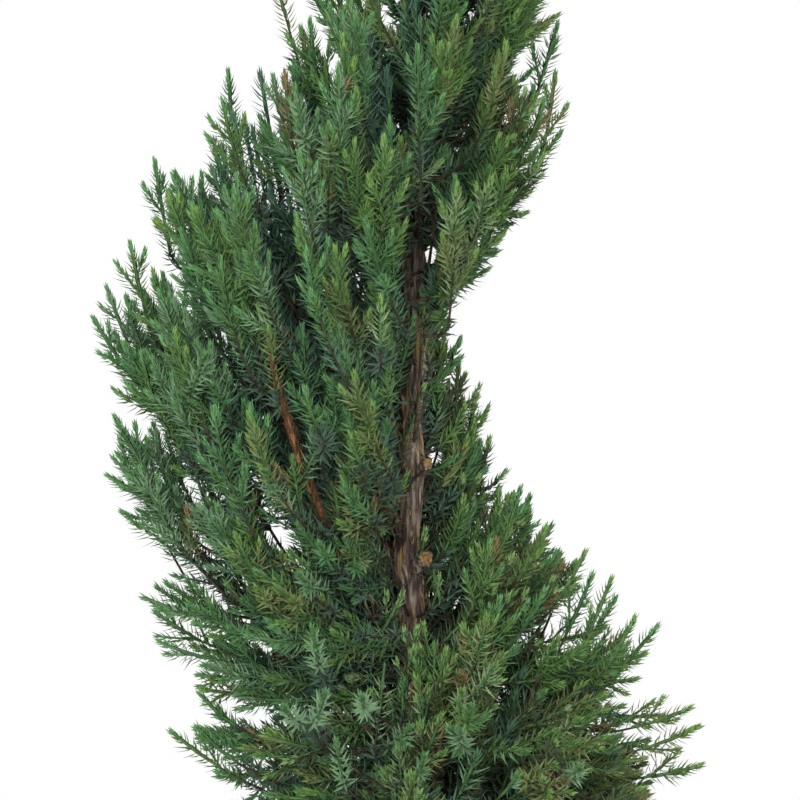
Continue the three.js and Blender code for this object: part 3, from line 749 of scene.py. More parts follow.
def needles_on(axes, step, size, seed, reach_from_tip, spread):
    """Needles in whorls along bent shoots. Each is a kite folded along its middle: base, two shoulders and a
    point. A needle leans out by an angle that grows from the tip of its shoot backwards. The step between
    whorls and the two angles of the spread may differ by shoot.
    Returns the corners, four to a needle, the number of each needle's shoot, and its way from the tip."""
    p0, p1, p2, shoot_length = axes
    reach = np.minimum(shoot_length, reach_from_tip)
    count = np.maximum(2, (reach / step).astype(int))
    shoot, rank = numbered(count)
    turn = np.tile(np.arange(NEEDLES_ROUND), len(rank)) * TURN / NEEDLES_ROUND
    shoot = np.repeat(shoot, NEEDLES_ROUND)
    rank = np.repeat(rank, NEEDLES_ROUND)
    k = np.arange(len(shoot)) + seed * 1000003
    back = reach[shoot] * ((rank + 0.25 + 0.5 * loose(k, 1)) / count[shoot]) ** CROWDING
    t = clamp(1 - back / shoot_length[shoot])
    a, b, c = p0[shoot], p1[shoot], p2[shoot]
    foot = bend_point(a, b, c, t)
    along = bend_direction(a, b, c, t)
    closed, opened = (np.broadcast_to(angle, len(p0))[shoot] for angle in spread)
    around = turn + rank * np.pi / NEEDLES_ROUND + (loose(k, 2) - 0.5) * NEEDLE_STRAYS[0]
    out = spoke(around, *across_frame(along))
    lean = mix(closed, opened, smooth(0, NEEDLE_OPENED, back)) + NEEDLE_STRAYS[1] * (loose(k, 3) - 0.5)
    direction = unit(spoke(lean * DEG, along, out) + NEEDLE_LIFT)
    length, width = size
    grown = mix(NEEDLE_GROWN[0], 1.0, smooth(0, NEEDLE_GROWN[1], back))
    long = length * grown * mix(*NEEDLE_LENGTHS, loose(k, 4))
    side = unit(np.cross(direction, out) + NEEDLE_TWIST * (loose(k, 5) - 0.5)[:, None] * out)
    ridge = np.cross(side, direction)
    half = width * 0.5 * mix(*NEEDLE_WIDTHS, loose(k, 6))
    middle = foot + direction * (NEEDLE_SHOULDER * long)[:, None]
    fold = ridge * (NEEDLE_FOLD * half)[:, None]
    left = middle + side * half[:, None] + fold
    right = middle - side * half[:, None] + fold
    tip = foot + direction * long[:, None]
    return np.stack([foot, left, right, tip], axis=1), shoot, back


def needle_piece(name, quads, material, slot="foliage"):
    """A piece of folded kites, from the four corners of each."""
    firsts = np.arange(len(quads)) * 4
    faces = (NEEDLE_FACES[None] + firsts[:, None, None]).reshape(-1, 3)
    return mesh_piece(name, quads.reshape(-1, 3), faces, material, slot)


# ---------------------------------------------------------------- materials

def linear(hex_colour):
    """An sRGB hex colour as a linear RGBA value."""
    part = [int(hex_colour[i : i + 2], 16) / 255 for i in (1, 3, 5)]
    return [c / 12.92 if c <= 0.04045 else ((c + 0.055) / 1.055) ** 2.4 for c in part] + [1.0]


def add(tree, kind, settings=None, links=None, stops=()):
    """Adds a node with its settings, by attribute or input, its links, by input and the socket that feeds
    it, and a colour ramp's stops, by place and hex colour from left to right."""
    node = tree.nodes.new(kind)
    for key, value in (settings or {}).items():
        if isinstance(key, int) or key in node.inputs:
            node.inputs[key].default_value = value
        else:
            setattr(node, key, value)
    for key, source in (links or {}).items():
        tree.links.new(source, node.inputs[key])
    for number, (place, colour) in enumerate(stops):
        ramp = node.color_ramp.elements
        stop = ramp[number] if number < 2 else ramp.new(place)
        stop.position = place
        stop.color = linear(colour)
    return node


def plain_material(name, colour, roughness, specular):
    """One colour all over, as a single needle or strip has."""
    material = bpy.data.materials.new(name)
    material.use_nodes = True
    shader = material.node_tree.nodes["Principled BSDF"]
    shader.inputs["Base Color"].default_value = linear(colour)
    shader.inputs["Roughness"].default_value = roughness
    shader.inputs["Specular IOR Level"].default_value = specular
    return material


def needle_material(name, colour, roughness=0.55):
    """A conifer's needle: a leaf with a thin coat of wax, half matt with a weak gloss, plain in colour."""
    return plain_material(name, colour, roughness, 0.2)


def skin_material(name, colour, other_colour, patch_mm):
    """Thin living skin of a young shoot, matt, in two tones that run into each other along it."""
    material = plain_material(name, colour, 0.75, 0.15)
    tree = material.node_tree
    place = add(tree, "ShaderNodeTexCoord").outputs["Object"]
    size = {"Scale": 1 / (patch_mm * MM), "Detail": 2.0}
    patches = add(tree, "ShaderNodeTexNoise", size, {"Vector": place}).outputs["Fac"]
    stops = ((0.4, colour), (0.6, other_colour))
    tone = add(tree, "ShaderNodeValToRGB", links={"Fac": patches}, stops=stops)
    tree.links.new(tone.outputs["Color"], tree.nodes["Principled BSDF"].inputs["Base Color"])
    return material


def bark_material(name, colours, fleck, strip_mm, relief_mm):
    """Living conifer bark that peels in upright strips: dry, matt, darker in the cracks and paler on the
    lifted strips, with flecks where a strip has come off, and lighter and darker patches. Noise drawn out
    along Z gives the strips, and a fine one the fibres. The colours run from the cracks to the palest
    strips."""
    material = plain_material(name, colours[1], 0.85, 0.25)
    tree = material.node_tree
    shader = tree.nodes["Principled BSDF"]
    place = add(tree, "ShaderNodeTexCoord").outputs["Object"]
    drawn = add(tree, "ShaderNodeMapping", {"Scale": (1, 1, 0.16)}, {"Vector": place}).outputs["Vector"]
    strips, fibres, bare, patches = (
        add(
            tree,
            "ShaderNodeTexNoise",
            {"Scale": to_a_strip / (strip_mm * MM), "Detail": detail, "Roughness": roughness},
            {"Vector": drawn},
        ).outputs["Fac"]
        for to_a_strip, detail, roughness in ((1, 3.0, 0.6), (5, 2.0, 0.7), (0.5, 4.0, 0.7), (0.3, 2.0, 0.5))
    )
    stops = tuple(zip((0.36, 0.46, 0.55, 0.64), colours))
    tone = add(tree, "ShaderNodeValToRGB", links={"Fac": strips}, stops=stops)
    worn = add(tree, "ShaderNodeMapRange", {"From Min": 0.58, "From Max": 0.64}, {"Value": bare})
    skin = add(
        tree,
        "ShaderNodeMix",
        {"data_type": "RGBA", 7: linear(fleck)},
        {"Factor": worn.outputs["Result"], 6: tone.outputs["Color"]},
    )
    shading = {"From Min": 0.36, "From Max": 0.64, "To Min": 0.45, "To Max": 1.35}
    shade = add(tree, "ShaderNodeMapRange", shading, {"Value": patches})
    toned = add(
        tree,
        "ShaderNodeMix",
        {"data_type": "RGBA", "blend_type": "MULTIPLY", "Factor": 1.0},
        {6: skin.outputs[2], 7: shade.outputs["Result"]},
    )
    height = add(tree, "ShaderNodeMath", {"operation": "MULTIPLY_ADD", 1: 0.4}, {0: fibres, 2: strips})
    relief = {"Strength": 0.8, "Distance": relief_mm * MM}
    bump = add(tree, "ShaderNodeBump", relief, {"Height": height.outputs["Value"]})
    tree.links.new(toned.outputs[2], shader.inputs["Base Color"])
    tree.links.new(bump.outputs["Normal"], shader.inputs["Normal"])
    return material


def cut_wood_material():
    """Pruning cut in sapwood, a season old: tan and matt, weathered in patches under 2 mm across."""
    material = plain_material("weathered_sapwood_cut", "#94703f", 0.8, 0.5)
    tree = material.node_tree
    place = add(tree, "ShaderNodeTexCoord").outputs["Object"]
    weather = {"Scale": 600.0, "Detail": 4.0, "Distortion": 0.6}
    grain = add(tree, "ShaderNodeTexNoise", weather, {"Vector": place}).outputs["Fac"]
    tone = add(tree, "ShaderNodeValToRGB", links={"Fac": grain}, stops=((0.3, "#4e3520"), (0.7, "#94703f")))
    tree.links.new(tone.outputs["Color"], tree.nodes["Principled BSDF"].inputs["Base Color"])
    return material


# ---------------------------------------------------------------- where the wood runs

def boughs_of_solids():
    """Start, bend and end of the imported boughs, read off their boxes: each runs out from the trunk to the
    far corner of its box and climbs through its whole height."""
    paths = []
    for name in sorted(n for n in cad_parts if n.startswith("bough_")):
        low, high = (np.array(corner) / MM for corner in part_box(name))
        middle = trunk_point((low[2] + high[2]) / 2)
        end = np.where(np.abs(high - middle) > np.abs(low - middle), high, low)
        end[2] = high[2] - BOUGH_END[1]
        start = trunk_point(low[2] + BOUGH_START)
        outward = unit(end[:2] - start[:2])
        end[:2] -= BOUGH_END[0] * outward
        bend = mix(start, end, 0.5) - [0, 0, BOUGH_SAG * np.linalg.norm(end[:2] - start[:2])]
        paths.append((start, bend, end))
    return [np.array(points) for points in zip(*paths)]


def inner_branches():
    """Limbs that leave the trunk all the way up, each a golden angle on from the last, and bend out and up
    into the crown as far as it reaches there. Those that the channel or a gap would lay bare are left out.
    Returns their starts, bends and ends, and how far out they run."""
    m = np.arange(BRANCH_TRIES)
    z0 = mix(*BRANCH_HEIGHTS, (m + 0.5) / BRANCH_TRIES)
    azimuth = (m * GOLDEN_SHARE % 1.0) * TURN
    run = 0.6 * crown_radius(azimuth, z0 + 40)  # a first guess, made better in each round
    for _ in range(4):
        run = BRANCH_REACH * crown_radius(azimuth, z0 + BRANCH_SLOPE * run)
    z1 = z0 + BRANCH_SLOPE * run
    start, end = trunk_point(z0), at(azimuth, run, z1)
    bend = mix(start, end, BRANCH_BEND)
    middle = bend_point(start, bend, end, 0.5)
    clear = crown_radius(azimuth, middle[:, 2]) > from_axis(middle) + BRANCH_COVER
    for t in (0.5, 0.7, 0.85, 1.0):
        clear &= ~in_gap(bend_point(start, bend, end, t), WOOD_CLEAR)
    kept = clear & (run > BRANCH_LEAST) & (run < crown_radius(azimuth, z1) - BRANCH_INSET)
    return start[kept], bend[kept], end[kept], run[kept]


# ---------------------------------------------------------------- where the shoots grow

def shoot_tips(tries, first):
    """Where shoots end: one even scatter over the whole crown, thinned so that each has an equal patch of
    the outline. Returns numbers, azimuths, heights and the outline's radius there."""
    k = np.arange(tries) + first
    z = mix(SKIRT, STEM_TIP, clamp(even(k, 1) + TIP_LOOSE * (loose(k, 13) - 0.5)))
    azimuth = (even(k, 0) + TIP_LOOSE * (loose(k, 14) - 0.5) - 0.5) * TURN
    radius = crown_radius(azimuth, z)
    room = radius - trunk_radius(z)
    kept = (even(k, 2) * WIDEST_RADIUS * THINNING[1] <= radius + THINNING[0]) & (room > TIP_ROOM)
    return k[kept], azimuth[kept], z[kept], radius[kept]


def outer_tips():
    """Tips on the outline, with its lumps and hollows, each standing out a little more or less."""
    k, azimuth, z, radius = shoot_tips(OUTER_TRIES, 0)
    slim = smooth(*TIP_SLIM, radius)
    reach = radius - TIP_INSET - hollows(azimuth, z)
    jitter = TIP_JITTER[1] * loose(k, 2) ** TIP_JITTER_CURVE
    reach += slim * (LUMP * lumps(azimuth, z) + TIP_JITTER[0] - jitter)
    return k, azimuth, z, radius, reach


def inner_tips():
    """Tips inside the outline, spread over its width as over a disc."""
    k, azimuth, z, radius = shoot_tips(INNER_TRIES, FIRST_INNER)
    nearest = trunk_radius(z) + INNER_FROM
    reach = mix(nearest, radius - INNER_INSET, np.sqrt(mix(*INNER_SPREAD, loose(k, 15))))
    kept = radius - nearest > INNER_ROOM
    return [a[kept] for a in (k, azimuth, z, radius, reach)]


def traced_back(tip, final, first, length):
    """A shoot's bend and base, back from its tip by half its length each."""
    half = (0.5 * length)[:, None]
    bend = tip - final * half
    return bend, bend - first * half


def scattered_shoots():
    """Bent paths of the shoots whose places are scattered. High in a turn of the crown they stand nearly
    upright, and low in it they reach out level; each leaves its twig flatter than it ends.
    Returns, as the next three do, numbers, bases, bends, tips, lengths, first directions and depths."""
    k, azimuth, z, radius, reach = (np.concatenate(pair) for pair in zip(outer_tips(), inner_tips()))
    low, _ = turn_at(azimuth, z)
    near = (1 - smooth(*RISE_NEAR_TRUNK, reach)) * smooth(*RISE_NEAR_CHANNEL, z - low)
    upright = np.maximum(smooth(*RISE_GROWS, z), near)
    upright = upright * smooth(0, RISE_TURN_FOOT, z - low) * smooth(SKIRT, SKIRT + RISE_SKIRT, z)
    rise = RISE[0] + RISE[1] * upright + RISE_LOOSE * (2 * loose(k, 0) - 1)
    heading = azimuth + SHOOT_TURN * (loose(k, 1) - 0.5)
    tip = at(azimuth, np.maximum(reach, TIP_LEAST), z)
    room = np.maximum(reach - trunk_radius(z) - TRUNK_CLEAR, SHOOT_ROOM[1])
    most = np.maximum(SHOOT_LEAST, SHOOT_ROOM[0] * room / np.cos(rise - 0.5 * SHOOT_BEND))
    length = np.minimum(mix(*SHOOT_LENGTH, loose(k, 3)), most)
    first = at(heading, np.cos(rise - SHOOT_BEND), np.sin(rise - SHOOT_BEND))
    final = at(heading, np.cos(rise), np.sin(rise))
    for _ in range(5):
        bend, base = traced_back(tip, final, first, length)
        length = np.where(stands_out(bend) | stands_out(base), SHOOT_CLIPPED * length, length)
    bend, base = traced_back(tip, final, first, length)
    depth = np.maximum(radius - reach, 0)
    kept = ~crosses_opening(base, bend, tip)
    return [a[kept] for a in (k, base, bend, tip, length, first, depth)]


def placed_shoots():
    """The shoots with places of their own: each from its foot, a little flatter, to its tip."""
    foot, tip = (np.array(side) for side in zip(*CROSSING_SHOOTS, *SPIRES))
    length = np.linalg.norm(tip - foot, axis=1)
    bend = 0.5 * (foot + tip) - PLACED_SAG
    k = FIRST_PLACED + np.arange(len(foot))
    return k, foot, bend, tip, length, unit(bend - foot), 0 * length


def shoots_inside():
    """Upright shoots in an even scatter that close the view behind the tallest partings."""
    middles = np.concatenate([np.tile(middle, (number, 1)) for middle, _, number in INSIDE])
    halves = np.concatenate([np.tile(half, (number, 1)) for _, half, number in INSIDE])
    k = FIRST_INSIDE + np.arange(len(middles))
    share = np.stack([even(k, 0), loose(k, 5), even(k, 1)], axis=1)
    foot = middles + (2 * share - 1) * halves
    tip = foot + INSIDE_RISE
    bend = 0.5 * (foot + tip)
    return k, foot, bend, tip, 0 * k + INSIDE_LENGTH, unit(tip - foot), 0 * k + INSIDE_SHADE


def star_shoots():
    """Shoots that end on the front of the outline and point out of it, so that they show as stars. The
    outline's place there is found in a few rounds, each from its radius at the last one's azimuth."""
    x, z = np.array(STARS).T
    y = -60 + 0 * x
    for _ in range(6):
        y = -np.sqrt(np.maximum(crown_radius(np.arctan2(y, x), z) ** 2 - x**2, 100.0))
    tip = np.stack([x, y - STAR_PROUD, z], axis=1)
    k = FIRST_STAR + np.arange(len(x))
    wide, back, (least, more) = STAR_FOOT
    foot = tip + np.stack([wide * loose(k, 0) - wide / 2, 0 * x + back, -least - more * loose(k, 1)], axis=1)
    bend = 0.5 * (foot + tip) - PLACED_SAG
    return k, foot, bend, tip, 0 * x + STAR_LENGTH, unit(bend - foot), 0 * x


def side_twigs(k, p0, p1, p2, length):
    """Twigs along each shoot, a golden angle apart round it, longer the further back from its tip they are.
    Those that would stand out of the crown are clipped back.
    Returns their own numbers, their shoots, and their feet, bends, tips and lengths."""
    parent, rank = numbered(np.maximum(0, ((length * TWIG_LAST - TWIG_FIRST) / TWIG_GAP).astype(int)))
    key = k[parent] * 31 + rank + 7
    back = TWIG_FIRST + (rank + TWIG_STRAYS * (loose(key, 1) - 0.5)) * TWIG_GAP
    t = clamp(1 - back / length[parent])
    foot = bend_point(p0[parent], p1[parent], p2[parent], t)
    along = bend_direction(p0[parent], p1[parent], p2[parent], t)
    out = spoke(rank * GOLDEN_ANGLE + loose(k[parent], 6) * TURN, *across_frame(along))
    start = unit(spoke((TWIG_ANGLE + TWIG_ANGLE_LOOSE * (loose(key, 2) - 0.5)) * DEG, along, out))
    final = unit(start + TWIG_TURNS_BACK * along + TWIG_TURNS_UP)
    long = TWIG_LENGTH[0] + TWIG_LENGTH[1] * back * mix(*TWIG_VARIES, loose(key, 3))
    long = np.minimum(TWIG_MOST, long)
    tip = foot + 0.5 * long[:, None] * (start + final)
    past = from_axis(tip) - crown_radius(np.arctan2(tip[:, 1], tip[:, 0]), tip[:, 2])
    long = long * clamp(1 - (past - TWIG_CLIPPED[0]) / TWIG_CLIPPED[1])
    near = from_axis(tip) < trunk_radius(tip[:, 2]) + TRUNK_CLEAR
    kept = (long > TWIG_LEAST) & ~near & ~crosses_opening(foot, foot + 0.5 * long[:, None] * start, tip)
    parent, key, foot, start, final, long = (a[kept] for a in (parent, key, foot, start, final, long))
    bend = foot + 0.5 * long[:, None] * start
    return key, parent, foot, bend, bend + 0.5 * long[:, None] * final, long


def twig_joints(base, first, starts, bends, ends):
    """Links each shoot to the wood: the nearest point of a branch or of the trunk that lies lower and
    further in, and the bent twig from there to the shoot's foot. Returns the twig and the gap that it
    closes."""
    points = [bend_point(starts, bends, ends, t) for t in np.linspace(*JOINT_SHARES)]
    points = np.concatenate([*points, trunk_point(np.arange(*JOINT_HEIGHTS))])
    away = base[:, None] - points[None]
    far = np.linalg.norm(away, axis=2)
    cost = far + JOINT_FLATNESS * np.maximum(0, JOINT_RISE * far - away[:, :, 2])
    nearest = points[np.argmin(cost, axis=1)]
    gap = np.linalg.norm(base - nearest, axis=1)
    return nearest, base - first * (JOINT_BEND * gap)[:, None], base, gap


def goes_astray(p, gap):
    """Whether points of twigs stand out of the crown or hang below it, lie in a gap of the foliage, or lie
    in the slot while the twig is long."""
    outside = stands_out(p) | (p[:, 2] < LOWEST_TWIG)
    return outside | in_gap(p, WOOD_CLEAR) | (in_slot(p) & (gap > JOINT_IN_SLOT))


# ---------------------------------------------------------------- trunk and boughs

def make_trunk(bark):
    """The trunk with its pruned stubs, and the stubs' cut faces."""
    heights = np.linspace(0, TRUNK_TIP, TRUNK_RINGS)
    path = trunk_point(heights)
    path[:2, :2] = 0.0  # upright at the foot, so that the lowest ring lies flat on the ground
    limbs = [
        barked_limb(path, trunk_radius(heights), 64, strip_turns=15, strip_mm=30.0, relief_mm=1.2, seed=21)
    ]
    cuts = []
    way = np.linspace(0, 1, STUB_RINGS)
    for z, azimuth, radius, length in STUBS:
        root = trunk_point(z)
        reach = trunk_radius(z) + length
        direction = unit(np.array([np.cos(azimuth), np.sin(azimuth), 0.35]))
        stub = root + direction * way[:, None] * reach
        collar = mix(radius * 1.4, radius * 1.1, smooth(0.35, 0.8, way)) + 0.4 * np.sin(9 * way)
        limbs.append(
            barked_limb(stub, collar, 40, strip_turns=7, strip_mm=6.0, relief_mm=1.1, seed=31, point=0.0)
        )
        cuts.append(cut_face(root + direction * reach, direction, radius, seed=71))
    trunk = mesh_piece("trunk_bark", *joined(limbs), bark, "bark", True)
    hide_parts("trunk")
    mesh_piece("pruning_cuts", *joined(cuts), cut_wood_material(), "bark", True)


def make_boughs(bark, axes):
    """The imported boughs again, with bark on them."""
    taper = mix(1.0, BOUGH_TAPER, np.linspace(0, 1, BOUGH_RINGS))
    limbs = []
    for i, path in enumerate(path_points(*axes, BOUGH_RINGS)):
        radii = taper * np.clip(BOUGH_SHARE * trunk_radius(path[0, 2]), *BOUGH_RADIUS)
        limbs.append(barked_limb(path, radii, 26, strip_turns=5, strip_mm=18.0, relief_mm=0.5, seed=41 + i))
    boughs = mesh_piece("bough_bark", *joined(limbs), bark, "bough_bark", True)
    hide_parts(*[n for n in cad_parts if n.startswith("bough_")])


def make_front_boughs(bark):
    """The bare boughs with orange peeling bark that show on the front, and the strips that stand off them.
    Each bough winds in two slow waves that grow along it, and is thicker and thinner by noise."""
    heights, bends, ends, end_radii = (np.array(part) for part in zip(*FRONT_BOUGHS))
    starts = trunk_point(heights)
    way = np.linspace(0, 1, FRONT_RINGS)
    limbs = []
    for i, path in enumerate(path_points(starts, bends, ends, FRONT_RINGS)):
        path[:, 0] += 1.5 * np.sin(15 * way) * way
        path[:, 1] += 1.5 * np.sin(11 * way + 2) * way
        knobs = mix(0.8, 1.25, value_noise(way * 0, way * 13, 1, 63 + i))
        radii = np.linspace(*end_radii[i], FRONT_RINGS) * knobs
        limbs.append(barked_limb(path, radii, 26, strip_turns=5, strip_mm=7.0, relief_mm=1.2, seed=61 + i))
    mesh_piece("orange_front_boughs", *joined(limbs), bark, "bough_bark", True)
    axes = (starts, bends, ends, np.linalg.norm(ends - starts, axis=1))
    strips, _, _ = needles_on(axes, 0.9, size=(7.0, 1.5), seed=9, reach_from_tip=150.0, spread=(14.0, 32.0))
    lifted_bark = plain_material("peeling_strips", "#664a30", 0.8, 0.1)
    needle_piece("peeling_strips", strips, lifted_bark, "bough_bark")


def make_frayed_strips():
    """Frayed strips that stand off the bared length of the trunk."""
    k = np.arange(FRAYED_STRIPS)
    z = mix(*FRAYED_HEIGHTS, even(k, 3))
    foot = trunk_point(z) + at(loose(k, 21) * TURN, 0.98 * trunk_radius(z), 0.0)
    up = np.array([0.0, 0.0, FRAYED_LENGTH])
    axes = (foot, foot + 0.5 * up, foot + up, 0 * z + FRAYED_LENGTH)
    strips, _, _ = needles_on(axes, 5.0, size=(8.5, 1.5), seed=11, reach_from_tip=10.0, spread=(6.0, 20.0))
    lifted_bark = plain_material("frayed_trunk_strips", "#7d6846", 0.85, 0.1)
    needle_piece("frayed_trunk_strips", strips, lifted_bark, "bark")


# ---------------------------------------------------------------- branches, shoots and needles

def make_branches(bark, boughs, shoots):
    """The finer branches, the leader's stem, and a bent twig from the nearest wood to each shoot. Scattered
    shoots whose twig would go astray are left out. Returns the shoots that are kept, and their twigs."""
    *branches, run = inner_branches()
    foot_radius = np.clip(BRANCH_THICKNESS[0] + BRANCH_THICKNESS[1] * run, *BRANCH_RADIUS)
    thick = foot_radius[:, None] * np.linspace(1, BRANCH_TAPER, BRANCH_RINGS)
    stem = [np.array([p]) for p in (trunk_point(TRUNK_TIP - 5), [0.0, 0.0, STEM_BEND], [0.0, 0.0, STEM_TIP])]
    stem_thick = np.linspace(trunk_radius(TRUNK_TIP), 0.9, STEM_RINGS)
    stem_points = np.concatenate([bend_point(*stem, t) for t in np.linspace(0, 1, 9)])
    low, high = stem_points[:-1], stem_points[1:]
    wood = [np.concatenate(group) for group in zip(boughs, branches, (low, 0.5 * (low + high), high))]
    k, base, _, _, _, first, _ = shoots
    *twigs, gap = twig_joints(base, first, *wood)
    on_way = [goes_astray(bend_point(*twigs, t), gap) for t in (0.2, 0.35, 0.5, 0.65, 0.8)]
    kept = ~(np.any(on_way, axis=0) & (k < FIRST_PLACED))
    twigs = [a[kept] for a in (*twigs, gap)]
    limbs = [
        tubes(path_points(*branches, BRANCH_RINGS), thick, 6),
        tubes(path_points(*stem, STEM_RINGS), stem_thick, 8),
        tubes(path_points(*twigs[:3], 4), np.linspace(*JOINT_RADII, 4), 3),
    ]
    mesh_piece("branch_bark", *joined(limbs), bark, "bough_bark", True)
    return [a[kept] for a in shoots], twigs


def make_shoot_skins(shoots, side):
    """The skins of shoots: brown as far as they are old, green from there to the tip and on side twigs."""
    _, base, bend, tip, length, _, _ = shoots
    _, _, *side_axes, _ = side
    turns_green = clamp(1 - GREEN_REACH / length)
    old = turns_green > 0.05
    old_parts = path_points(base[old], bend[old], tip[old], 3, high=turns_green[old])
    young_parts = path_points(base, bend, tip, 3, low=turns_green)
    green = [tubes(young_parts, GREEN_RADII, 3), tubes(path_points(*side_axes, 2), SIDE_RADII, 3)]
    brown_skin = skin_material("brown_twig_skin", "#2b2e22", "#3a3527", patch_mm=9.0)
    green_skin = skin_material("green_shoot_skin", "#33502e", "#47643a", patch_mm=9.0)
    mesh_piece("twig_skin", *tubes(old_parts, np.linspace(*BROWN_RADII, 3), 3), brown_skin, "foliage", True)
    mesh_piece("green_shoot_skin", *joined(green), green_skin, "foliage", True)


def grow_needles(axes, deep):
    """The needles of leading shoots and side twigs, coarser on deep ones, and thinned out to a ragged rim
    round the sky holes. Returns, as needles_on does, corners, numbers of shoots and ways from the tip."""
    inside = deep > INSIDE_DEPTH
    high = smooth(*NEEDLES_CHANGE, axes[2][:, 2])
    steps = np.where(inside, DEEP_STEP, mix(*NEEDLE_STEP, high))
    grown = []
    for chosen, size, seed in ((~inside, NEEDLE_SIZE, 3), (inside, DEEP_SIZE, 4)):
        numbers = np.flatnonzero(chosen)
        spread = [mix(low, up, high[numbers]) for low, up in zip(*NEEDLE_OPENING)]
        mine = [a[numbers] for a in axes]
        quads, on, back = needles_on(mine, steps[numbers], size, seed, NEEDLED_LENGTH, spread)
        grown.append((quads, numbers[on], back))
    quads, on, back = (np.concatenate(group) for group in zip(*grown))
    leafy = ~in_gap(quads.mean(axis=1), mix(*RAGGED_RIM, loose(np.arange(len(quads)), 15)))
    return quads[leafy], on[leafy], back[leafy]


def deal(colours, quads, pick):
    """Shares needles out to colours: the coolest picks to the first, each as many as its share."""
    rank = level(pick)
    low = 0.0
    for name, colour, share in colours:
        taken = (rank >= low) & (rank < low + share + 1e-6)
        low += share
        needle_piece(name, quads[taken], needle_material(name, colour))


def make_needles(shoots, side):
    """Needles on leading shoots and side twigs, dealt out to colours by shoot: new ones at the tips, darker
    ones far back and deep inside (painted shade, partly also the darker tone of older needles), a few dry
    tufts, and cooler ones on the left than on the right, where the dark dusky ones lie mostly low on the
    right as partly painted shade.
    Returns the piece of dry ones."""
    k, base, bend, tip, length, _, depth = shoots
    own, parent, side_foot, side_bend, side_tip, side_length = side
    leader = np.concatenate([k, k[parent]])
    key = np.concatenate([k, own])
    deep = np.concatenate([depth, depth[parent]])
    pairs = ((base, side_foot), (bend, side_bend), (tip, side_tip), (length, side_length))
    quads, on, back = grow_needles([np.concatenate(pair) for pair in pairs], deep)
    x, z = quads[:, 0, 0], quads[:, 0, 2]
    tip_reach = mix(*NEW_GROWTH, loose(key, 8)) * (deep < NEW_GROWTH_DEPTH)
    is_tip = back < tip_reach[on]
    # needles deep in the crown and far back on a shoot take the darker colours: painted shade, partly also
    # older needles
    is_shaded = ~is_tip & (deep[on] + SHADED_BACK * back > mix(*SHADED_PAST, loose(key, 11))[on])
    low_right = smooth(*DRY_ACROSS, x) * (1 - smooth(*DRY_HEIGHTS, z))
    is_dry = loose(key, 12)[on] < mix(*DRY_SHARE, low_right)
    warmth = smooth(*WARM_ACROSS, x) * (WARM_BY_HEIGHT[0] - WARM_BY_HEIGHT[1] * smooth(*WARM_HEIGHTS, z))
    warmth = warmth * (1 - COOL_EDGE_SHARE * smooth(*COOL_EDGE, x))
    chance = CHANCE[0] * loose(leader, 9) + CHANCE[1] * loose(key, 10)
    chance = chance - STAR_COOLNESS * (leader >= FIRST_STAR)
    pick = chance[on] + WARMTH * warmth
    dry = needle_piece("needles_dry", quads[is_dry], needle_material("needles_dry", DRY_COLOUR))
    for colours, chosen in (
        (TIP_COLOURS, is_tip & ~is_dry),
        (OUTER_COLOURS, ~is_tip & ~is_shaded & ~is_dry),
        (SHADED_COLOURS, is_shaded & ~is_dry),
    ):
        deal(colours, quads[chosen], pick[chosen])
    return dry


def make_inner_needles(twigs):
    """Inner needles, older and coarser, on the twigs that link the shoots to the wood. Their dark green is
    partly the tone of older needles and partly painted shade.
    """
    quads, _, _ = needles_on(twigs, 3.6, size=(12.0, 2.2), seed=5, reach_from_tip=90.0, spread=(50, 70))
    quads = quads[~in_gap(quads.mean(axis=1), 1.0)]
    needle_piece("inner_needles", quads, needle_material("inner_needles", INNER_COLOUR, 0.6))


# ---------------------------------------------------------------- the plant

grey_bark = bark_material(
    "peeling_grey_brown_bark",
    colours=("#2b201d", "#514138", "#736659", "#a0968a"),
    fleck="#8a7044",
    strip_mm=3.0,
    relief_mm=0.9,
)
# Dark brown bark of the boughs, branches, linking twigs and leader's stem inside the crown: its own browner
# tone, darkened further as painted shade
brown_bark = bark_material(
    "brown_bough_bark",
    colours=("#1a1410", "#2c2219", "#3c2e21", "#564230"),
    fleck="#4a3a28",
    strip_mm=3.0,
    relief_mm=0.3,
)
orange_bark = bark_material(
    "orange_bough_bark",
    colours=("#2a1b13", "#4a3322", "#6c4b2f", "#8c6a45"),
    fleck="#5a3d27",
    strip_mm=2.2,
    relief_mm=0.6,
)

boughs = boughs_of_solids()
make_trunk(grey_bark)
make_boughs(brown_bark, boughs)
make_front_boughs(orange_bark)
make_frayed_strips()

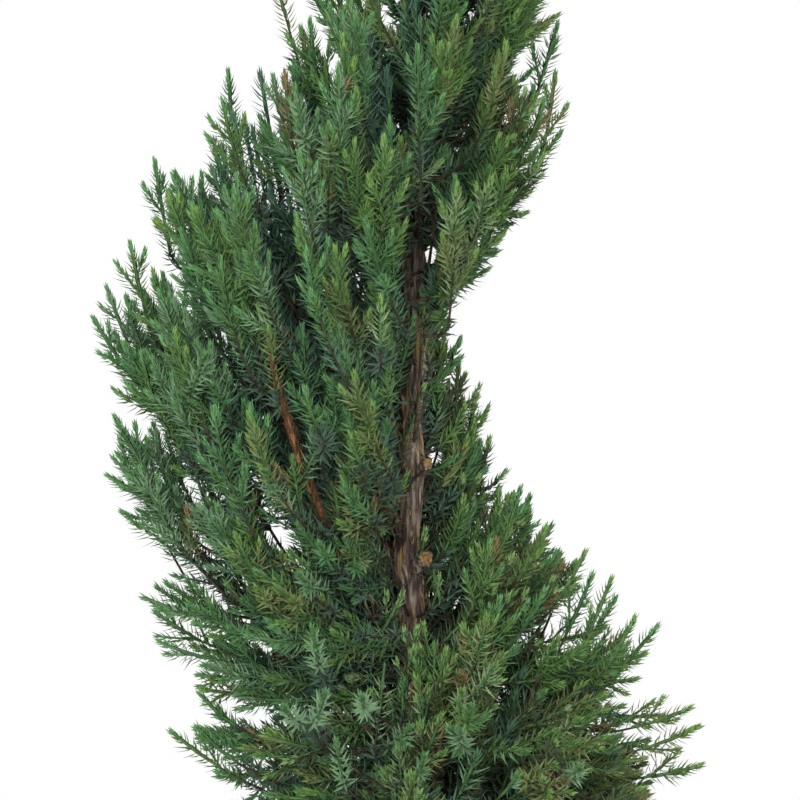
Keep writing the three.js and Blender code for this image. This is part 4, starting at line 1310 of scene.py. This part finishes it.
kinds = (scattered_shoots(), placed_shoots(), shoots_inside(), star_shoots())
shoots, twigs = make_branches(brown_bark, boughs, [np.concatenate(group) for group in zip(*kinds)])
outer = np.flatnonzero(shoots[6] <= INSIDE_DEPTH)
own, parent, *side_axes = side_twigs(*[a[outer] for a in shoots[:5]])
side = (own, outer[parent], *side_axes)
make_shoot_skins(shoots, side)
dry_needles = make_needles(shoots, side)
make_inner_needles(twigs)
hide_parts(*[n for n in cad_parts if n.startswith("foliage_")])

# ---------------------------------------------------------------- stage

bpy.ops.mesh.primitive_circle_add(vertices=96, radius=FLOOR_RADIUS, fill_type="NGON", location=(0, 0, 0))
floor = bpy.context.object
floor.name = "floor"
floor.data.materials.append(plain_material("white_floor", "#fbfbfb", 0.9, 0.1))

world = bpy.data.worlds.new("white_studio")
world.use_nodes = True
world.node_tree.nodes["Background"].inputs["Color"].default_value = (1, 1, 1, 1)
world.node_tree.nodes["Background"].inputs["Strength"].default_value = 1.0
bpy.context.scene.world = world


def soft_light(name, place, size, watts, aim=(0, 0, 0.6)):
    """A square studio light at a place, turned towards its aim."""
    light = bpy.data.lights.new(name, "AREA")
    light.size = size
    light.energy = watts
    lamp = bpy.data.objects.new(name, light)
    bpy.context.scene.collection.objects.link(lamp)
    lamp.location = place
    x, y, z = np.array(aim) - np.array(place)
    lamp.rotation_euler = (math.atan2(np.hypot(x, y), -z), 0, math.atan2(y, x) - math.pi / 2)


soft_light("key_light", (-1.2, -2.1, 2.3), size=0.8, watts=74)
soft_light("fill_light", (0.3, -2.4, 0.6), size=1.4, watts=36)

camera_data = bpy.data.cameras.new("camera")
camera_data.lens = SENSOR_WIDTH * CAMERA_AWAY / VIEW_WIDTH
camera = bpy.data.objects.new("camera", camera_data)
bpy.context.scene.collection.objects.link(camera)
camera.location = (CAMERA_ASIDE, -CAMERA_AWAY, CAMERA_HEIGHT)
camera.rotation_euler = (math.pi / 2, 0, 0)
bpy.context.scene.camera = camera
bpy.context.scene.view_settings.view_transform = "Standard"
